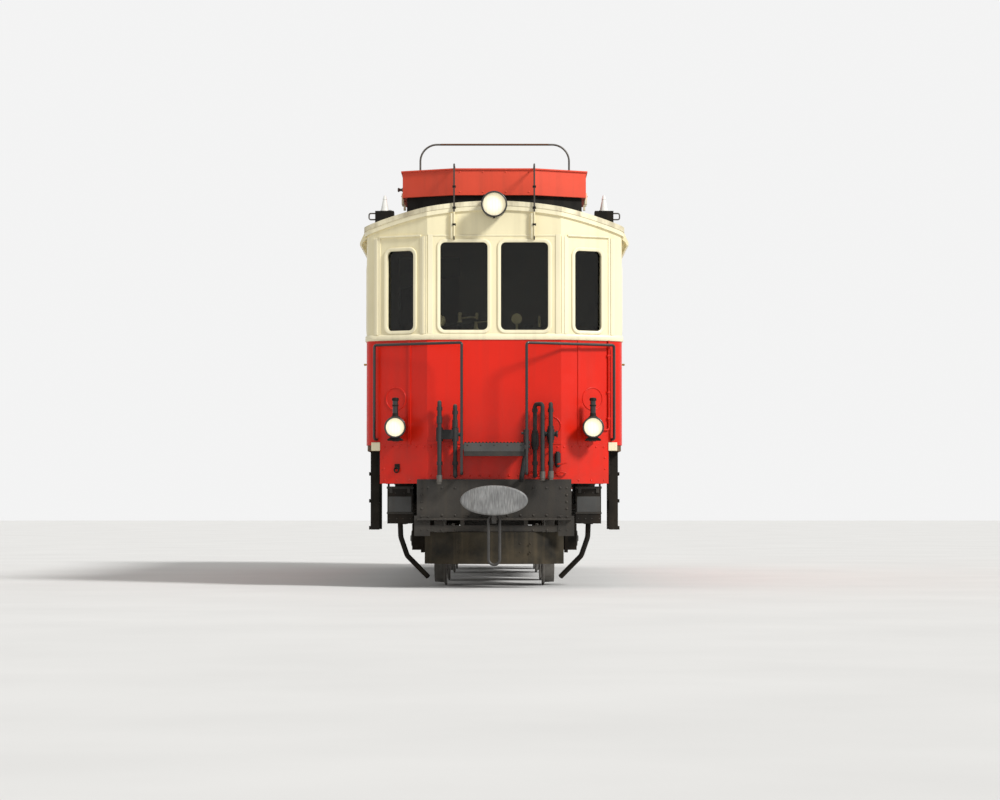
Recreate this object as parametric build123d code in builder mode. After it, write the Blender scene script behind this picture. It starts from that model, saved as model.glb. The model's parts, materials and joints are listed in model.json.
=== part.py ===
from build123d import *
import os
from math import cos, radians, sin, sqrt, tan

# Narrow-gauge electric railcar with bow ends, on two motor bogies, with one folding pantograph.
# Millimetres. X runs across, Y along with the leading end at -Y, Z up from the wheel flange tips.

# Fits and gaps between pieces
SEAT = 0.3
RUNNING = 0.1
MOVING_GAP = 6.0
DOOR_GAP = 10.0

# Wheels and axles
FLANGE_HEIGHT = 28.0
WHEEL_RADIUS = 430.0
AXLE_Z = FLANGE_HEIGHT + WHEEL_RADIUS
BACK_TO_BACK = 930.0
TYRE_WIDTH = 120.0
FLANGE_WIDTH = 32.0
TYRE_THICKNESS = 65.0
WEB_THICKNESS = 30.0
HUB_RADIUS = 105.0
AXLE_RADIUS = 72.0
JOURNAL_RADIUS = 60.0
JOURNAL_START = 612.0
JOURNAL_END = 785.0

# Bogies
BOGIE_SETBACK = 2150.0
WHEELBASE = 1900.0
AXLE_OFFSET = WHEELBASE / 2
FRAME_X = 690.0
FRAME_PLATE = 30.0
FRAME_HALF_LENGTH = 1400.0
FRAME_LOW = 640.0
FRAME_HIGH = 820.0
HORN_LOW = 320.0
HORN_WIDTH = 55.0
AXLEBOX_WIDTH = 240.0
AXLEBOX_DEPTH = 165.0
AXLEBOX_LOW = 345.0
AXLEBOX_HIGH = 600.0
TRANSOM_HALF = 250.0
TRANSOM_LOW = 600.0
TRANSOM_HIGH = 760.0
CENTRE_PLATE_RADIUS = 190.0
CENTRE_PIN_RADIUS = 60.0
CENTRE_PIN_LENGTH = 240.0
SPRING_LEAF = 13.0
SPRING_WIDTH = 70.0
SPRING_RADIUS = 2300.0
SPRING_HALF_LENGTHS = (440.0, 380.0, 310.0, 240.0, 170.0)
MOTOR_HALF_WIDTH = 330.0
MOTOR_LOW = 300.0
MOTOR_HIGH = 720.0

# Body plan
HALF_LENGTH = 4900.0
HALF_WIDTH = 1225.0
BOGIE_PIVOT = HALF_LENGTH - BOGIE_SETBACK
CENTRE_FACET = 635.0
FACET_ANGLE = 27.0
CORNER_RADIUS = 140.0
WALL = 60.0
END_PANEL = 420.0
END_SPLIT = HALF_LENGTH - END_PANEL

# Heights of the body
FLOOR_TOP = 1355.0
FLOOR_THICKNESS = 55.0
SOLEBAR_HEIGHT = 220.0
SOLEBAR_INSET = 120.0
SOLEBAR_WEB = 12.0
SOLEBAR_FLANGE = 80.0
SOLEBAR_TOP = FLOOR_TOP - FLOOR_THICKNESS
SOLEBAR_LOW = SOLEBAR_TOP - SOLEBAR_HEIGHT
SOLEBAR_X = HALF_WIDTH - SOLEBAR_INSET
BOLSTER_LOW = 1000.0
BOLSTER_HALF = 150.0
CENTRE_SILL_X = 275.0
CENTRE_SILL_WIDTH = 50.0
SOLEBAR_INNER_X = SOLEBAR_X - SOLEBAR_FLANGE
END_BEARER = HALF_LENGTH - 750.0
JACKING_PAD = 80.0
JACKING_DEPTH = 20.0
JACKING_X = SOLEBAR_X - JACKING_PAD / 2
JACKING_Y = BOGIE_PIVOT - 450.0
CROSS_BEARERS = (-END_BEARER, -1300.0, -500.0, 500.0, 1300.0, END_BEARER)

# Roof
ROOF_TOP = 3668.0
ROOF_RADIUS = 3640.0
ROOF_THICKNESS = 45.0
ROOF_OVERHANG = 25.0
CORNICE_DEPTH = 42.0
CORNICE_REACH = 20.0
ROOF_CENTRE_Z = ROOF_TOP - ROOF_RADIUS
CEILING_RADIUS = ROOF_RADIUS - ROOF_THICKNESS
BLANK_TOP = 4300.0
BEHIND = Plane.XZ.offset(-2 * HALF_LENGTH)
WHOLE_CAR = 4 * HALF_LENGTH

# End windows
END_WINDOW_WIDTH = 455.0
END_WINDOW_LOW = 2438.0
END_WINDOW_HIGH = 3278.0
END_MULLION = 119.0
FACET_WINDOW_X = 892.0
FACET_WINDOW_WIDTH = 292.0
FACET_WINDOW_HIGH = 3205.0
WINDOW_CORNER = 50.0
GLASS = 8.0

# Side windows and doors
SIDE_WINDOW_WIDTH = 800.0
SIDE_WINDOW_LOW = 2438.0
SIDE_WINDOW_HIGH = 3170.0
SIDE_WINDOW_PITCH = 1100.0
CAB_DOOR_INSET = 500.0
CAB_DOOR_WIDTH = 650.0
CAB_DOOR_FRONT = HALF_LENGTH - CAB_DOOR_INSET
CAB_DOOR_REAR = CAB_DOOR_FRONT - CAB_DOOR_WIDTH
DOOR_TOP = 3190.0
DOOR_WINDOW_WIDTH = 430.0
DOOR_WINDOW_LOW = 2460.0
DOOR_WINDOW_HIGH = 3080.0
HINGE_INSET = 20.0
HINGE_PIN = 7.0
HINGE_BARREL = 12.0
HINGE_HALF = 30.0
HINGE_ZS = (1650.0, 2300.0, 2950.0)
LUGGAGE_OPENING = 1500.0
LUGGAGE_LAP = 40.0
LUGGAGE_STANDOFF = 22.0
LUGGAGE_LEAF = 38.0
LUGGAGE_TRAVEL = 1450.0
LUGGAGE_WINDOW_WIDTH = 470.0
RAIL_LOW = 3202.0
RAIL_HIGH = 3232.0
RAIL_THICKNESS = 10.0
ROLLER_RADIUS = 22.0
PARTITION_Y = CAB_DOOR_REAR - 350.0
PARTITION = 40.0
DOORWAY_WIDTH = 600.0
DOORWAY_HEIGHT = 1900.0
DOORWAY_X = 650.0
OUTER_WINDOW_Y = PARTITION_Y - 500.0
INNER_WINDOW_Y = OUTER_WINDOW_Y - SIDE_WINDOW_PITCH
SIDE_WINDOW_YS = (-OUTER_WINDOW_Y, -INNER_WINDOW_Y, INNER_WINDOW_Y, OUTER_WINDOW_Y)

# End equipment
APRON_LOW = 988.0
APRON_PLATE = 10.0
APRON_HALF = 1090.0
HEADSTOCK_HALF = 730.0
HEADSTOCK_LOW = 654.0
HEADSTOCK_HIGH = 1028.0
HEADSTOCK_PLATE = 25.0
HEADSTOCK_FACE = HALF_LENGTH + HEADSTOCK_PLATE
BUFFER_Z = 828.0
BUFFER_REACH = 500.0
BUFFER_FACE = HALF_LENGTH + BUFFER_REACH
BUFFER_HALF_WIDTH = 315.0
BUFFER_HALF_HEIGHT = 140.0
HOOK_Z = 690.0
PLOUGH_HALF = 660.0
PLOUGH_LOW = 228.0
PLOUGH_HIGH = 528.0
PLOUGH_NOSE = HALF_LENGTH + 90.0
PLOUGH_TAIL = HALF_LENGTH - 140.0
PLOUGH_PLATE = 12.0
STEP_HALF = 285.0
STEP_DEPTH = 240.0
STEP_LOW = 1288.0
STEP_HIGH = 1368.0
RAIL_TUBE = 13.5
HANDRAIL_Z = 2308.0
HANDRAIL_INNER_X = 305.0
HANDRAIL_OUTER_X = 1120.0
HANDRAIL_STANDOFF = 50.0
HANDRAIL_FOOT_Z = 1410.0
HANDRAIL_LOW_Z = 1078.0
LADDER_LOW = 548.0
LADDER_WIDTH = 85.0
LADDER_PLATE = 12.0
TREAD_LIP = 15.0
TREAD_ZS = (560.0, 820.0, 1080.0)

# Roof equipment
HOUSING_HALF = 885.0
HOUSING_FACET = 390.0
HOUSING_SETBACK = 250.0
HOUSING_LENGTH = 1150.0
HOUSING_FRONT = HALF_LENGTH - HOUSING_SETBACK
HOUSING_REAR = HOUSING_FRONT - HOUSING_LENGTH
HOUSING_LOW = 3750.0
HOUSING_HIGH = 3993.0
LID = 13.0
LID_REACH = 15.0
PANTO_SETBACK = 500.0
PANTO_Y = PANTO_SETBACK - BOGIE_PIVOT
PANTO_PIVOT_Z = 3990.0
PANTO_HALF = 120.0
PANTO_ARM = 1000.0
PANTO_REST = 7.0
PANTO_LOWER_X = 400.0
PANTO_UPPER_X = 345.0
PANTO_BASE_X = 440.0
PANTO_BASE_HALF = 560.0
PANTO_BAR = 40.0
PANTO_BAR_TOP = 3955.0
PANTO_HEAD_HALF = 772.0
PANTO_HEAD_TOP = 4527.0


def roof_z(x, radius=ROOF_RADIUS):
    """Height of the roof's round at a distance from the middle."""
    return ROOF_CENTRE_Z + sqrt(radius**2 - x**2)


def facet_y(x):
    """Distance of the end's sloping facet from the middle of the car."""
    return HALF_LENGTH - (x - CENTRE_FACET) * tan(radians(FACET_ANGLE))


def bow_plan(half_width, half_facet, front, rear, radius):
    """Plan with a three-facet bow at the front and, where rear is negative, at the rear."""
    corner = front - (half_width - half_facet) * tan(radians(FACET_ANGLE))
    right = [(half_facet, -front), (half_width, -corner)]
    right += [(half_width, corner), (half_facet, front)] if rear < 0 else [(half_width, -rear)]
    with BuildSketch() as plan:
        with BuildLine():
            Polyline(*right, *[(-x, y) for x, y in reversed(right)], close=True)
        make_face()
        if radius:
            corners = plan.vertices().filter_by(lambda v: abs(abs(v.Y) - corner) < 1)
            fillet(corners, radius)
    return plan.sketch


def body_plan(grow=0.0):
    """Plan of the body, grown outwards by a distance."""
    facet = CENTRE_FACET + grow * tan(radians(FACET_ANGLE / 2))
    radius = max(CORNER_RADIUS + grow, 0)
    return bow_plan(HALF_WIDTH + grow, facet, HALF_LENGTH + grow, -1, radius)


def above_round(radius):
    """Everything above the roof's round, seen along the car."""
    with BuildSketch() as above:
        with Locations((0, BLANK_TOP - 500)):
            Rectangle(4 * HALF_WIDTH, 1000)
        with Locations((0, ROOF_CENTRE_Z)):
            Circle(radius, mode=Mode.SUBTRACT)
    return above.sketch


def tube(points, bend, radius):
    """Round bar along straight runs joined by tangent bends."""
    with BuildPart() as bar:
        with BuildLine() as route:
            FilletPolyline(*points, radius=bend)
        with BuildSketch(Plane(origin=route.wire() @ 0, z_dir=route.wire() % 0)):
            Circle(radius)
        sweep(path=route.wire())
    return bar.part


def block(x_range, y_range, z_range):
    """Plain block between two corners."""
    with BuildPart() as body:
        with BuildSketch(Plane.XY.offset(z_range[0])):
            with Locations((sum(x_range) / 2, sum(y_range) / 2)):
                Rectangle(x_range[1] - x_range[0], y_range[1] - y_range[0])
        extrude(amount=z_range[1] - z_range[0])
    return body.part


def upright_plane(x, y, z):
    """Plane across the car that faces the leading end."""
    return Plane(origin=(x, y, z), x_dir=(1, 0, 0), z_dir=(0, -1, 0))


def facet_plane(side, x, z):
    """Plane that lies on one of the front end's sloping facets."""
    turn = radians(FACET_ANGLE)
    along, out = Vector(cos(turn), side * sin(turn), 0), Vector(side * sin(turn), -cos(turn), 0)
    return Plane(origin=(side * x, -facet_y(x), z), x_dir=along, z_dir=out)


def save(piece, name):
    """Label a finished piece and write it."""
    piece.part.label = name
    export_step(piece.part, f"parts/{name}.step")


os.makedirs("parts", exist_ok=True)

# Underframe: side channels with jacking pads, bow-shaped end channels, centre sills, cross-bearers and bolsters
CHANNEL_PLATES = (
    # low, high, width of the ring
    (SOLEBAR_LOW, SOLEBAR_TOP, SOLEBAR_WEB),
    (SOLEBAR_LOW, SOLEBAR_LOW + SOLEBAR_WEB, SOLEBAR_FLANGE),
    (SOLEBAR_TOP - SOLEBAR_WEB, SOLEBAR_TOP, SOLEBAR_FLANGE),
)
end_sill_inner_y = HALF_LENGTH - SOLEBAR_INSET - SOLEBAR_FLANGE
sill_inner_x = CENTRE_SILL_X - CENTRE_SILL_WIDTH / 2
sill_outer_x = CENTRE_SILL_X + CENTRE_SILL_WIDTH / 2
with BuildPart() as solebars:
    for low, high, width in CHANNEL_PLATES:
        with BuildSketch(Plane.XY.offset(low)):
            with Locations((SOLEBAR_X - width / 2, 0)):
                Rectangle(width, 2 * END_SPLIT)
        extrude(amount=high - low)
    with BuildSketch(Plane.XY.offset(SOLEBAR_LOW)):
        with Locations((JACKING_X, -JACKING_Y), (JACKING_X, JACKING_Y)):
            Rectangle(JACKING_PAD, 2 * JACKING_PAD)
    extrude(amount=-JACKING_DEPTH)
    mirror(about=Plane.YZ)
save(solebars, "solebars")

with BuildPart() as end_sills:
    for low, high, width in CHANNEL_PLATES:
        with BuildSketch(Plane.XY.offset(low)):
            add(body_plan(-SOLEBAR_INSET))
            add(body_plan(-SOLEBAR_INSET - width), mode=Mode.SUBTRACT)
            with Locations((0, -END_SPLIT - HALF_LENGTH)):
                Rectangle(4 * HALF_WIDTH, 2 * HALF_LENGTH, mode=Mode.INTERSECT)
        extrude(amount=high - low)
    mirror(about=Plane.XZ)
save(end_sills, "end_sills")

SILL_SPANS = (
    # y range of the centre sills between end sills and bolsters
    (-end_sill_inner_y, -BOGIE_PIVOT - BOLSTER_HALF),
    (-BOGIE_PIVOT + BOLSTER_HALF, BOGIE_PIVOT - BOLSTER_HALF),
    (BOGIE_PIVOT + BOLSTER_HALF, end_sill_inner_y),
)
with BuildPart() as centre_sills:
    for y_range in SILL_SPANS:
        add(block((sill_inner_x, sill_outer_x), y_range, (SOLEBAR_LOW, SOLEBAR_TOP)))
    mirror(about=Plane.YZ)
save(centre_sills, "centre_sills")

with BuildPart() as cross_bearers:
    for y in CROSS_BEARERS:
        y_range = (y - CENTRE_SILL_WIDTH / 2, y + CENTRE_SILL_WIDTH / 2)
        add(block((sill_outer_x, SOLEBAR_INNER_X), y_range, (SOLEBAR_LOW, SOLEBAR_TOP)))
        add(block((0, sill_inner_x), y_range, (SOLEBAR_LOW, SOLEBAR_TOP)))
    mirror(about=Plane.YZ)
save(cross_bearers, "cross_bearers")

with BuildPart() as bolsters:
    y_range = (-BOGIE_PIVOT - BOLSTER_HALF, -BOGIE_PIVOT + BOLSTER_HALF)
    add(block((-SOLEBAR_INNER_X, SOLEBAR_INNER_X), y_range, (BOLSTER_LOW, SOLEBAR_TOP)))
    add(block((-SOLEBAR_X, SOLEBAR_X), y_range, (BOLSTER_LOW, SOLEBAR_LOW)))
    with BuildSketch(Plane.XY.offset(BOLSTER_LOW)):
        with Locations((0, -BOGIE_PIVOT)):
            Circle(CENTRE_PIN_RADIUS)
    extrude(amount=-CENTRE_PIN_LENGTH)
    mirror(about=Plane.XZ)
save(bolsters, "bolsters")

with BuildPart() as floor:
    with BuildSketch(Plane.XY.offset(SOLEBAR_TOP)):
        add(body_plan(-APRON_PLATE))
    extrude(amount=FLOOR_THICKNESS)
save(floor, "floor")

# Front end wall with its centre and facet windows; the rear one is its mirror image
facet_mid_z = (END_WINDOW_LOW + FACET_WINDOW_HIGH) / 2
facet_window_height = FACET_WINDOW_HIGH - END_WINDOW_LOW
centre_mid_z = (END_WINDOW_LOW + END_WINDOW_HIGH) / 2
centre_window_height = END_WINDOW_HIGH - END_WINDOW_LOW
centre_window_x = (END_MULLION + END_WINDOW_WIDTH) / 2
END_WINDOWS = (
    # plane on the wall's face, width, height
    (upright_plane(-centre_window_x, -HALF_LENGTH, centre_mid_z), END_WINDOW_WIDTH, centre_window_height),
    (upright_plane(centre_window_x, -HALF_LENGTH, centre_mid_z), END_WINDOW_WIDTH, centre_window_height),
    (facet_plane(-1, FACET_WINDOW_X, facet_mid_z), FACET_WINDOW_WIDTH, facet_window_height),
    (facet_plane(1, FACET_WINDOW_X, facet_mid_z), FACET_WINDOW_WIDTH, facet_window_height),
)
with BuildPart() as front_end_wall:
    with BuildSketch(Plane.XY.offset(FLOOR_TOP)):
        add(body_plan())
        add(body_plan(-WALL), mode=Mode.SUBTRACT)
        with Locations((0, -END_SPLIT - HALF_LENGTH)):
            Rectangle(4 * HALF_WIDTH, 2 * HALF_LENGTH, mode=Mode.INTERSECT)
    extrude(amount=BLANK_TOP - FLOOR_TOP)
    with BuildSketch(BEHIND):
        add(above_round(CEILING_RADIUS - SEAT))
    extrude(amount=WHOLE_CAR, mode=Mode.SUBTRACT)
    for plane, width, height in END_WINDOWS:
        with BuildSketch(plane):
            RectangleRounded(width, height, WINDOW_CORNER)
        extrude(amount=2 * WALL, both=True, mode=Mode.SUBTRACT)
save(front_end_wall, "front_end_wall")

with BuildPart() as rear_end_wall:
    add(front_end_wall.part)
    mirror(about=Plane.XZ, mode=Mode.REPLACE)
save(rear_end_wall, "rear_end_wall")

with BuildPart() as end_glass:
    for plane, width, height in END_WINDOWS:
        with BuildSketch(plane.offset(-(WALL + GLASS) / 2)):
            RectangleRounded(width - 2 * SEAT, height - 2 * SEAT, WINDOW_CORNER - SEAT)
        extrude(amount=GLASS)
    mirror(about=Plane.XZ)
save(end_glass, "end_glass")

# Right side wall up to the cant rail, with the fixed halves of the door hinges
hinge_x = HALF_WIDTH - WALL - HINGE_INSET
hinge_y = CAB_DOOR_REAR - DOOR_GAP / 2
door_mid_y = (CAB_DOOR_FRONT + CAB_DOOR_REAR) / 2
door_width = CAB_DOOR_FRONT - CAB_DOOR_REAR
inner_face = Plane.YZ.offset(HALF_WIDTH - WALL)
side_window_mid = (SIDE_WINDOW_LOW + SIDE_WINDOW_HIGH) / 2
luggage_leaf_half = LUGGAGE_OPENING / 2 + LUGGAGE_LAP
rail_x = HALF_WIDTH + LUGGAGE_STANDOFF + LUGGAGE_LEAF / 2
RAIL_SPAN = (-luggage_leaf_half, luggage_leaf_half + LUGGAGE_TRAVEL)
cant_low = DOOR_TOP - LUGGAGE_LAP
with BuildPart() as side_wall_right:
    with BuildSketch(inner_face):
        with Locations((0, (FLOOR_TOP + cant_low) / 2)):
            Rectangle(2 * END_SPLIT, cant_low - FLOOR_TOP)
            Rectangle(LUGGAGE_OPENING, cant_low - FLOOR_TOP, mode=Mode.SUBTRACT)
        for y in (-door_mid_y, door_mid_y):
            with Locations((y, (FLOOR_TOP + cant_low) / 2)):
                Rectangle(door_width + 2 * DOOR_GAP, cant_low - FLOOR_TOP, mode=Mode.SUBTRACT)
        with Locations(*[(y, side_window_mid) for y in SIDE_WINDOW_YS]):
            RectangleRounded(SIDE_WINDOW_WIDTH, SIDE_WINDOW_HIGH - SIDE_WINDOW_LOW, WINDOW_CORNER, mode=Mode.SUBTRACT)
    extrude(amount=WALL)
    for end in (-1, 1):
        for z in HINGE_ZS:
            for low in (z - 2 * HINGE_HALF, z + HINGE_HALF):
                with BuildSketch(Plane.XY.offset(low)):
                    with Locations((hinge_x, end * hinge_y)):
                        Circle(HINGE_BARREL)
                    with Locations((hinge_x + HINGE_INSET / 2, end * (hinge_y - HINGE_INSET))):
                        Rectangle(HINGE_INSET, HINGE_INSET)
                    with Locations((hinge_x, end * (hinge_y - HINGE_INSET / 2))):
                        Rectangle(HINGE_BARREL, HINGE_INSET)
                    with Locations((hinge_x, end * hinge_y)):
                        Circle(HINGE_PIN + RUNNING, mode=Mode.SUBTRACT)
                extrude(amount=HINGE_HALF)
save(side_wall_right, "side_wall_right")

with BuildPart() as side_wall_left:
    add(side_wall_right.part)
    mirror(about=Plane.YZ, mode=Mode.REPLACE)
save(side_wall_left, "side_wall_left")

# Cant rails over the doors and windows, which carry the roof and the luggage doors' rails
with BuildPart() as cant_rails:
    with BuildSketch(inner_face):
        with Locations((0, (cant_low + BLANK_TOP) / 2)):
            Rectangle(2 * END_SPLIT, BLANK_TOP - cant_low)
        for y in (-door_mid_y, door_mid_y):
            with Locations((y, (cant_low + DOOR_TOP + DOOR_GAP) / 2)):
                Rectangle(door_width + 2 * DOOR_GAP, DOOR_TOP + DOOR_GAP - cant_low, mode=Mode.SUBTRACT)
        with Locations(*[(y, side_window_mid) for y in SIDE_WINDOW_YS]):
            RectangleRounded(SIDE_WINDOW_WIDTH, SIDE_WINDOW_HIGH - SIDE_WINDOW_LOW, WINDOW_CORNER, mode=Mode.SUBTRACT)
    extrude(amount=WALL)
    with BuildSketch(BEHIND):
        add(above_round(CEILING_RADIUS - SEAT))
    extrude(amount=WHOLE_CAR, mode=Mode.SUBTRACT)
    for y in (RAIL_SPAN[0] + 30, 0, luggage_leaf_half + 30, RAIL_SPAN[1] - 30):
        add(block((HALF_WIDTH, rail_x), (y - 15, y + 15), (RAIL_LOW, RAIL_HIGH)))
    add(block((rail_x - RAIL_THICKNESS / 2, rail_x + RAIL_THICKNESS / 2), RAIL_SPAN, (RAIL_LOW, RAIL_HIGH)))
    mirror(about=Plane.YZ)
save(cant_rails, "cant_rails")

with BuildPart() as side_glass:
    with BuildSketch(inner_face.offset((WALL - GLASS) / 2)):
        with Locations(*[(y, side_window_mid) for y in SIDE_WINDOW_YS]):
            RectangleRounded(
                SIDE_WINDOW_WIDTH - 2 * SEAT, SIDE_WINDOW_HIGH - SIDE_WINDOW_LOW - 2 * SEAT, WINDOW_CORNER - SEAT
            )
    extrude(amount=GLASS)
    mirror(about=Plane.YZ)
save(side_glass, "side_glass")

# Cab doors: one leaf at the front right, mirrored to the other corners
with BuildPart() as cab_door:
    with BuildSketch(inner_face):
        with Locations((-door_mid_y, (FLOOR_TOP + DOOR_GAP + DOOR_TOP) / 2)):
            Rectangle(door_width, DOOR_TOP - FLOOR_TOP - DOOR_GAP)
        with Locations((-door_mid_y, (DOOR_WINDOW_LOW + DOOR_WINDOW_HIGH) / 2)):
            RectangleRounded(
                DOOR_WINDOW_WIDTH, DOOR_WINDOW_HIGH - DOOR_WINDOW_LOW, WINDOW_CORNER, mode=Mode.SUBTRACT
            )
    extrude(amount=WALL)
    for z in HINGE_ZS:
        with BuildSketch(Plane.XY.offset(z - HINGE_HALF + MOVING_GAP / 2)):
            with Locations((hinge_x, -hinge_y)):
                Circle(HINGE_BARREL)
            with Locations((hinge_x, -hinge_y - HINGE_INSET)):
                Rectangle(HINGE_BARREL, 2 * HINGE_INSET)
            with Locations((hinge_x + HINGE_INSET / 2, -hinge_y - 2 * HINGE_INSET)):
                Rectangle(HINGE_INSET, 2 * HINGE_INSET)
        extrude(amount=2 * HINGE_HALF - MOVING_GAP)
        with BuildSketch(Plane.XY.offset(z - 2 * HINGE_HALF)):
            with Locations((hinge_x, -hinge_y)):
                Circle(HINGE_PIN)
        extrude(amount=4 * HINGE_HALF)
save(cab_door, "cab_door_front_right")

for name, planes in (
    ("cab_door_front_left", (Plane.YZ,)),
    ("cab_door_rear_right", (Plane.XZ,)),
    ("cab_door_rear_left", (Plane.YZ, Plane.XZ)),
):
    with BuildPart() as other_door:
        add(cab_door.part)
        for plane in planes:
            mirror(about=plane, mode=Mode.REPLACE)
    save(other_door, name)

# Luggage doors: an outside leaf that hangs from two rollers on the rail
leaf_low = FLOOR_TOP + DOOR_GAP
strap_x = rail_x + RAIL_THICKNESS / 2 + MOVING_GAP
with BuildPart() as luggage_door_right:
    with BuildSketch(Plane.YZ.offset(HALF_WIDTH + LUGGAGE_STANDOFF)):
        with Locations((0, (leaf_low + DOOR_TOP) / 2)):
            Rectangle(2 * luggage_leaf_half, DOOR_TOP - leaf_low)
        for y in (-luggage_leaf_half / 2, luggage_leaf_half / 2):
            with Locations((y, (DOOR_WINDOW_LOW + DOOR_WINDOW_HIGH) / 2)):
                RectangleRounded(
                    LUGGAGE_WINDOW_WIDTH, DOOR_WINDOW_HIGH - DOOR_WINDOW_LOW, WINDOW_CORNER, mode=Mode.SUBTRACT
                )
    extrude(amount=LUGGAGE_LEAF)
    for y in (-luggage_leaf_half * 0.7, luggage_leaf_half * 0.7):
        roller_z = RAIL_HIGH + SEAT + ROLLER_RADIUS
        add(block((strap_x, strap_x + 8), (y - 25, y + 25), (DOOR_TOP, roller_z + 12)))
        with BuildSketch(Plane.YZ.offset(rail_x - RAIL_THICKNESS / 2)):
            with Locations((y, roller_z)):
                Circle(ROLLER_RADIUS)
        extrude(amount=strap_x - rail_x + RAIL_THICKNESS / 2)
save(luggage_door_right, "luggage_door_right")

with BuildPart() as luggage_door_left:
    add(luggage_door_right.part)
    mirror(about=Plane.YZ, mode=Mode.REPLACE)
save(luggage_door_left, "luggage_door_left")

# Roof, and the cornice that follows its edge round the ends and along the sides
with BuildPart() as roof:
    with BuildSketch(Plane.XY.offset(FLOOR_TOP)):
        add(body_plan(ROOF_OVERHANG))
    extrude(amount=BLANK_TOP - FLOOR_TOP)
    with BuildSketch(BEHIND):
        with Locations((0, ROOF_CENTRE_Z)):
            Circle(ROOF_RADIUS)
            Circle(CEILING_RADIUS, mode=Mode.SUBTRACT)
    extrude(amount=WHOLE_CAR, mode=Mode.INTERSECT)
save(roof, "roof")

gutter_edge = HALF_WIDTH + ROOF_OVERHANG
gutter_top = roof_z(gutter_edge, CEILING_RADIUS) - SEAT
wall_top = roof_z(HALF_WIDTH, CEILING_RADIUS) - SEAT
GUTTER_PROFILE = (
    # x, z of the slanting eaves board, from the wall round to its drip edge
    (HALF_WIDTH, wall_top),
    (gutter_edge, gutter_top),
    (gutter_edge + 42, gutter_top - 90),
    (gutter_edge + 42, gutter_top - 118),
    (gutter_edge + 26, gutter_top - 118),
    (gutter_edge + 14, gutter_top - 88),
    (HALF_WIDTH, wall_top - 62),
)
with BuildPart() as roof_cornice:
    with BuildSketch(Plane.XY.offset(FLOOR_TOP)):
        add(body_plan(CORNICE_REACH))
        add(body_plan(), mode=Mode.SUBTRACT)
        with Locations((0, -END_SPLIT - HALF_LENGTH)):
            Rectangle(4 * HALF_WIDTH, 2 * HALF_LENGTH, mode=Mode.INTERSECT)
    extrude(amount=BLANK_TOP - FLOOR_TOP)
    with BuildSketch(BEHIND):
        with Locations((0, ROOF_CENTRE_Z)):
            Circle(CEILING_RADIUS - SEAT)
            Circle(CEILING_RADIUS - CORNICE_DEPTH, mode=Mode.SUBTRACT)
    extrude(amount=WHOLE_CAR, mode=Mode.INTERSECT)
    mirror(about=Plane.XZ)
    with BuildSketch(Plane.XZ):
        with BuildLine():
            Polyline(*GUTTER_PROFILE, close=True)
        make_face()
        mirror(about=Plane.YZ)
    extrude(amount=END_SPLIT, both=True)
save(roof_cornice, "roof_cornice")

# Aprons below the end walls
with BuildPart() as aprons:
    with BuildSketch(Plane.XY.offset(APRON_LOW)):
        add(body_plan())
        add(body_plan(-APRON_PLATE), mode=Mode.SUBTRACT)
        with Locations((0, -HALF_LENGTH)):
            Rectangle(2 * APRON_HALF, HALF_LENGTH, mode=Mode.INTERSECT)
    extrude(amount=FLOOR_TOP - APRON_LOW)
    mirror(about=Plane.XZ)
save(aprons, "aprons")

# Cab partitions with a doorway, and the controls seen through the glass
with BuildPart() as front_partition:
    with BuildSketch(Plane.XZ.offset(PARTITION_Y - PARTITION)):
        with Locations((0, (FLOOR_TOP + BLANK_TOP) / 2)):
            Rectangle(2 * (HALF_WIDTH - WALL), BLANK_TOP - FLOOR_TOP)
        with Locations((-DOORWAY_X, FLOOR_TOP + DOORWAY_HEIGHT / 2)):
            Rectangle(DOORWAY_WIDTH, DOORWAY_HEIGHT, mode=Mode.SUBTRACT)
    extrude(amount=PARTITION)
    with BuildSketch(BEHIND):
        add(above_round(CEILING_RADIUS - SEAT))
    extrude(amount=WHOLE_CAR, mode=Mode.SUBTRACT)
with BuildPart() as cab_partitions:
    add(front_partition.part)
    add(front_partition.part.rotate(Axis.Z, 180))
save(cab_partitions, "cab_partitions")

CONTROLLER_Y = HALF_LENGTH - 340.0
BRAKE_COLUMN_Y = HALF_LENGTH - 300.0
with BuildPart() as cab_controls:
    add(block((-520, -140), (-CONTROLLER_Y - 140, -CONTROLLER_Y + 140), (FLOOR_TOP, FLOOR_TOP + 1060)))
    with BuildSketch(Plane.XY.offset(FLOOR_TOP + 1060)):
        with Locations((-330, -CONTROLLER_Y)):
            Circle(25)
    extrude(amount=90)
    with BuildSketch(Plane.XY.offset(FLOOR_TOP + 1150)):
        with Locations((-330, -CONTROLLER_Y)):
            Circle(130)
            Circle(108, mode=Mode.SUBTRACT)
            Rectangle(230, 24)
            Rectangle(24, 230)
    extrude(amount=22)
    with BuildSketch(Plane.XY.offset(FLOOR_TOP)):
        with Locations((330, -BRAKE_COLUMN_Y)):
            Circle(45)
    extrude(amount=1150)
    with BuildSketch(Plane.XY.offset(FLOOR_TOP + 1100)):
        with Locations((330, -BRAKE_COLUMN_Y)):
            SlotOverall(260, 50)
    extrude(amount=30)
    mirror(about=Plane.XZ)
save(cab_controls, "cab_controls")

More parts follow.
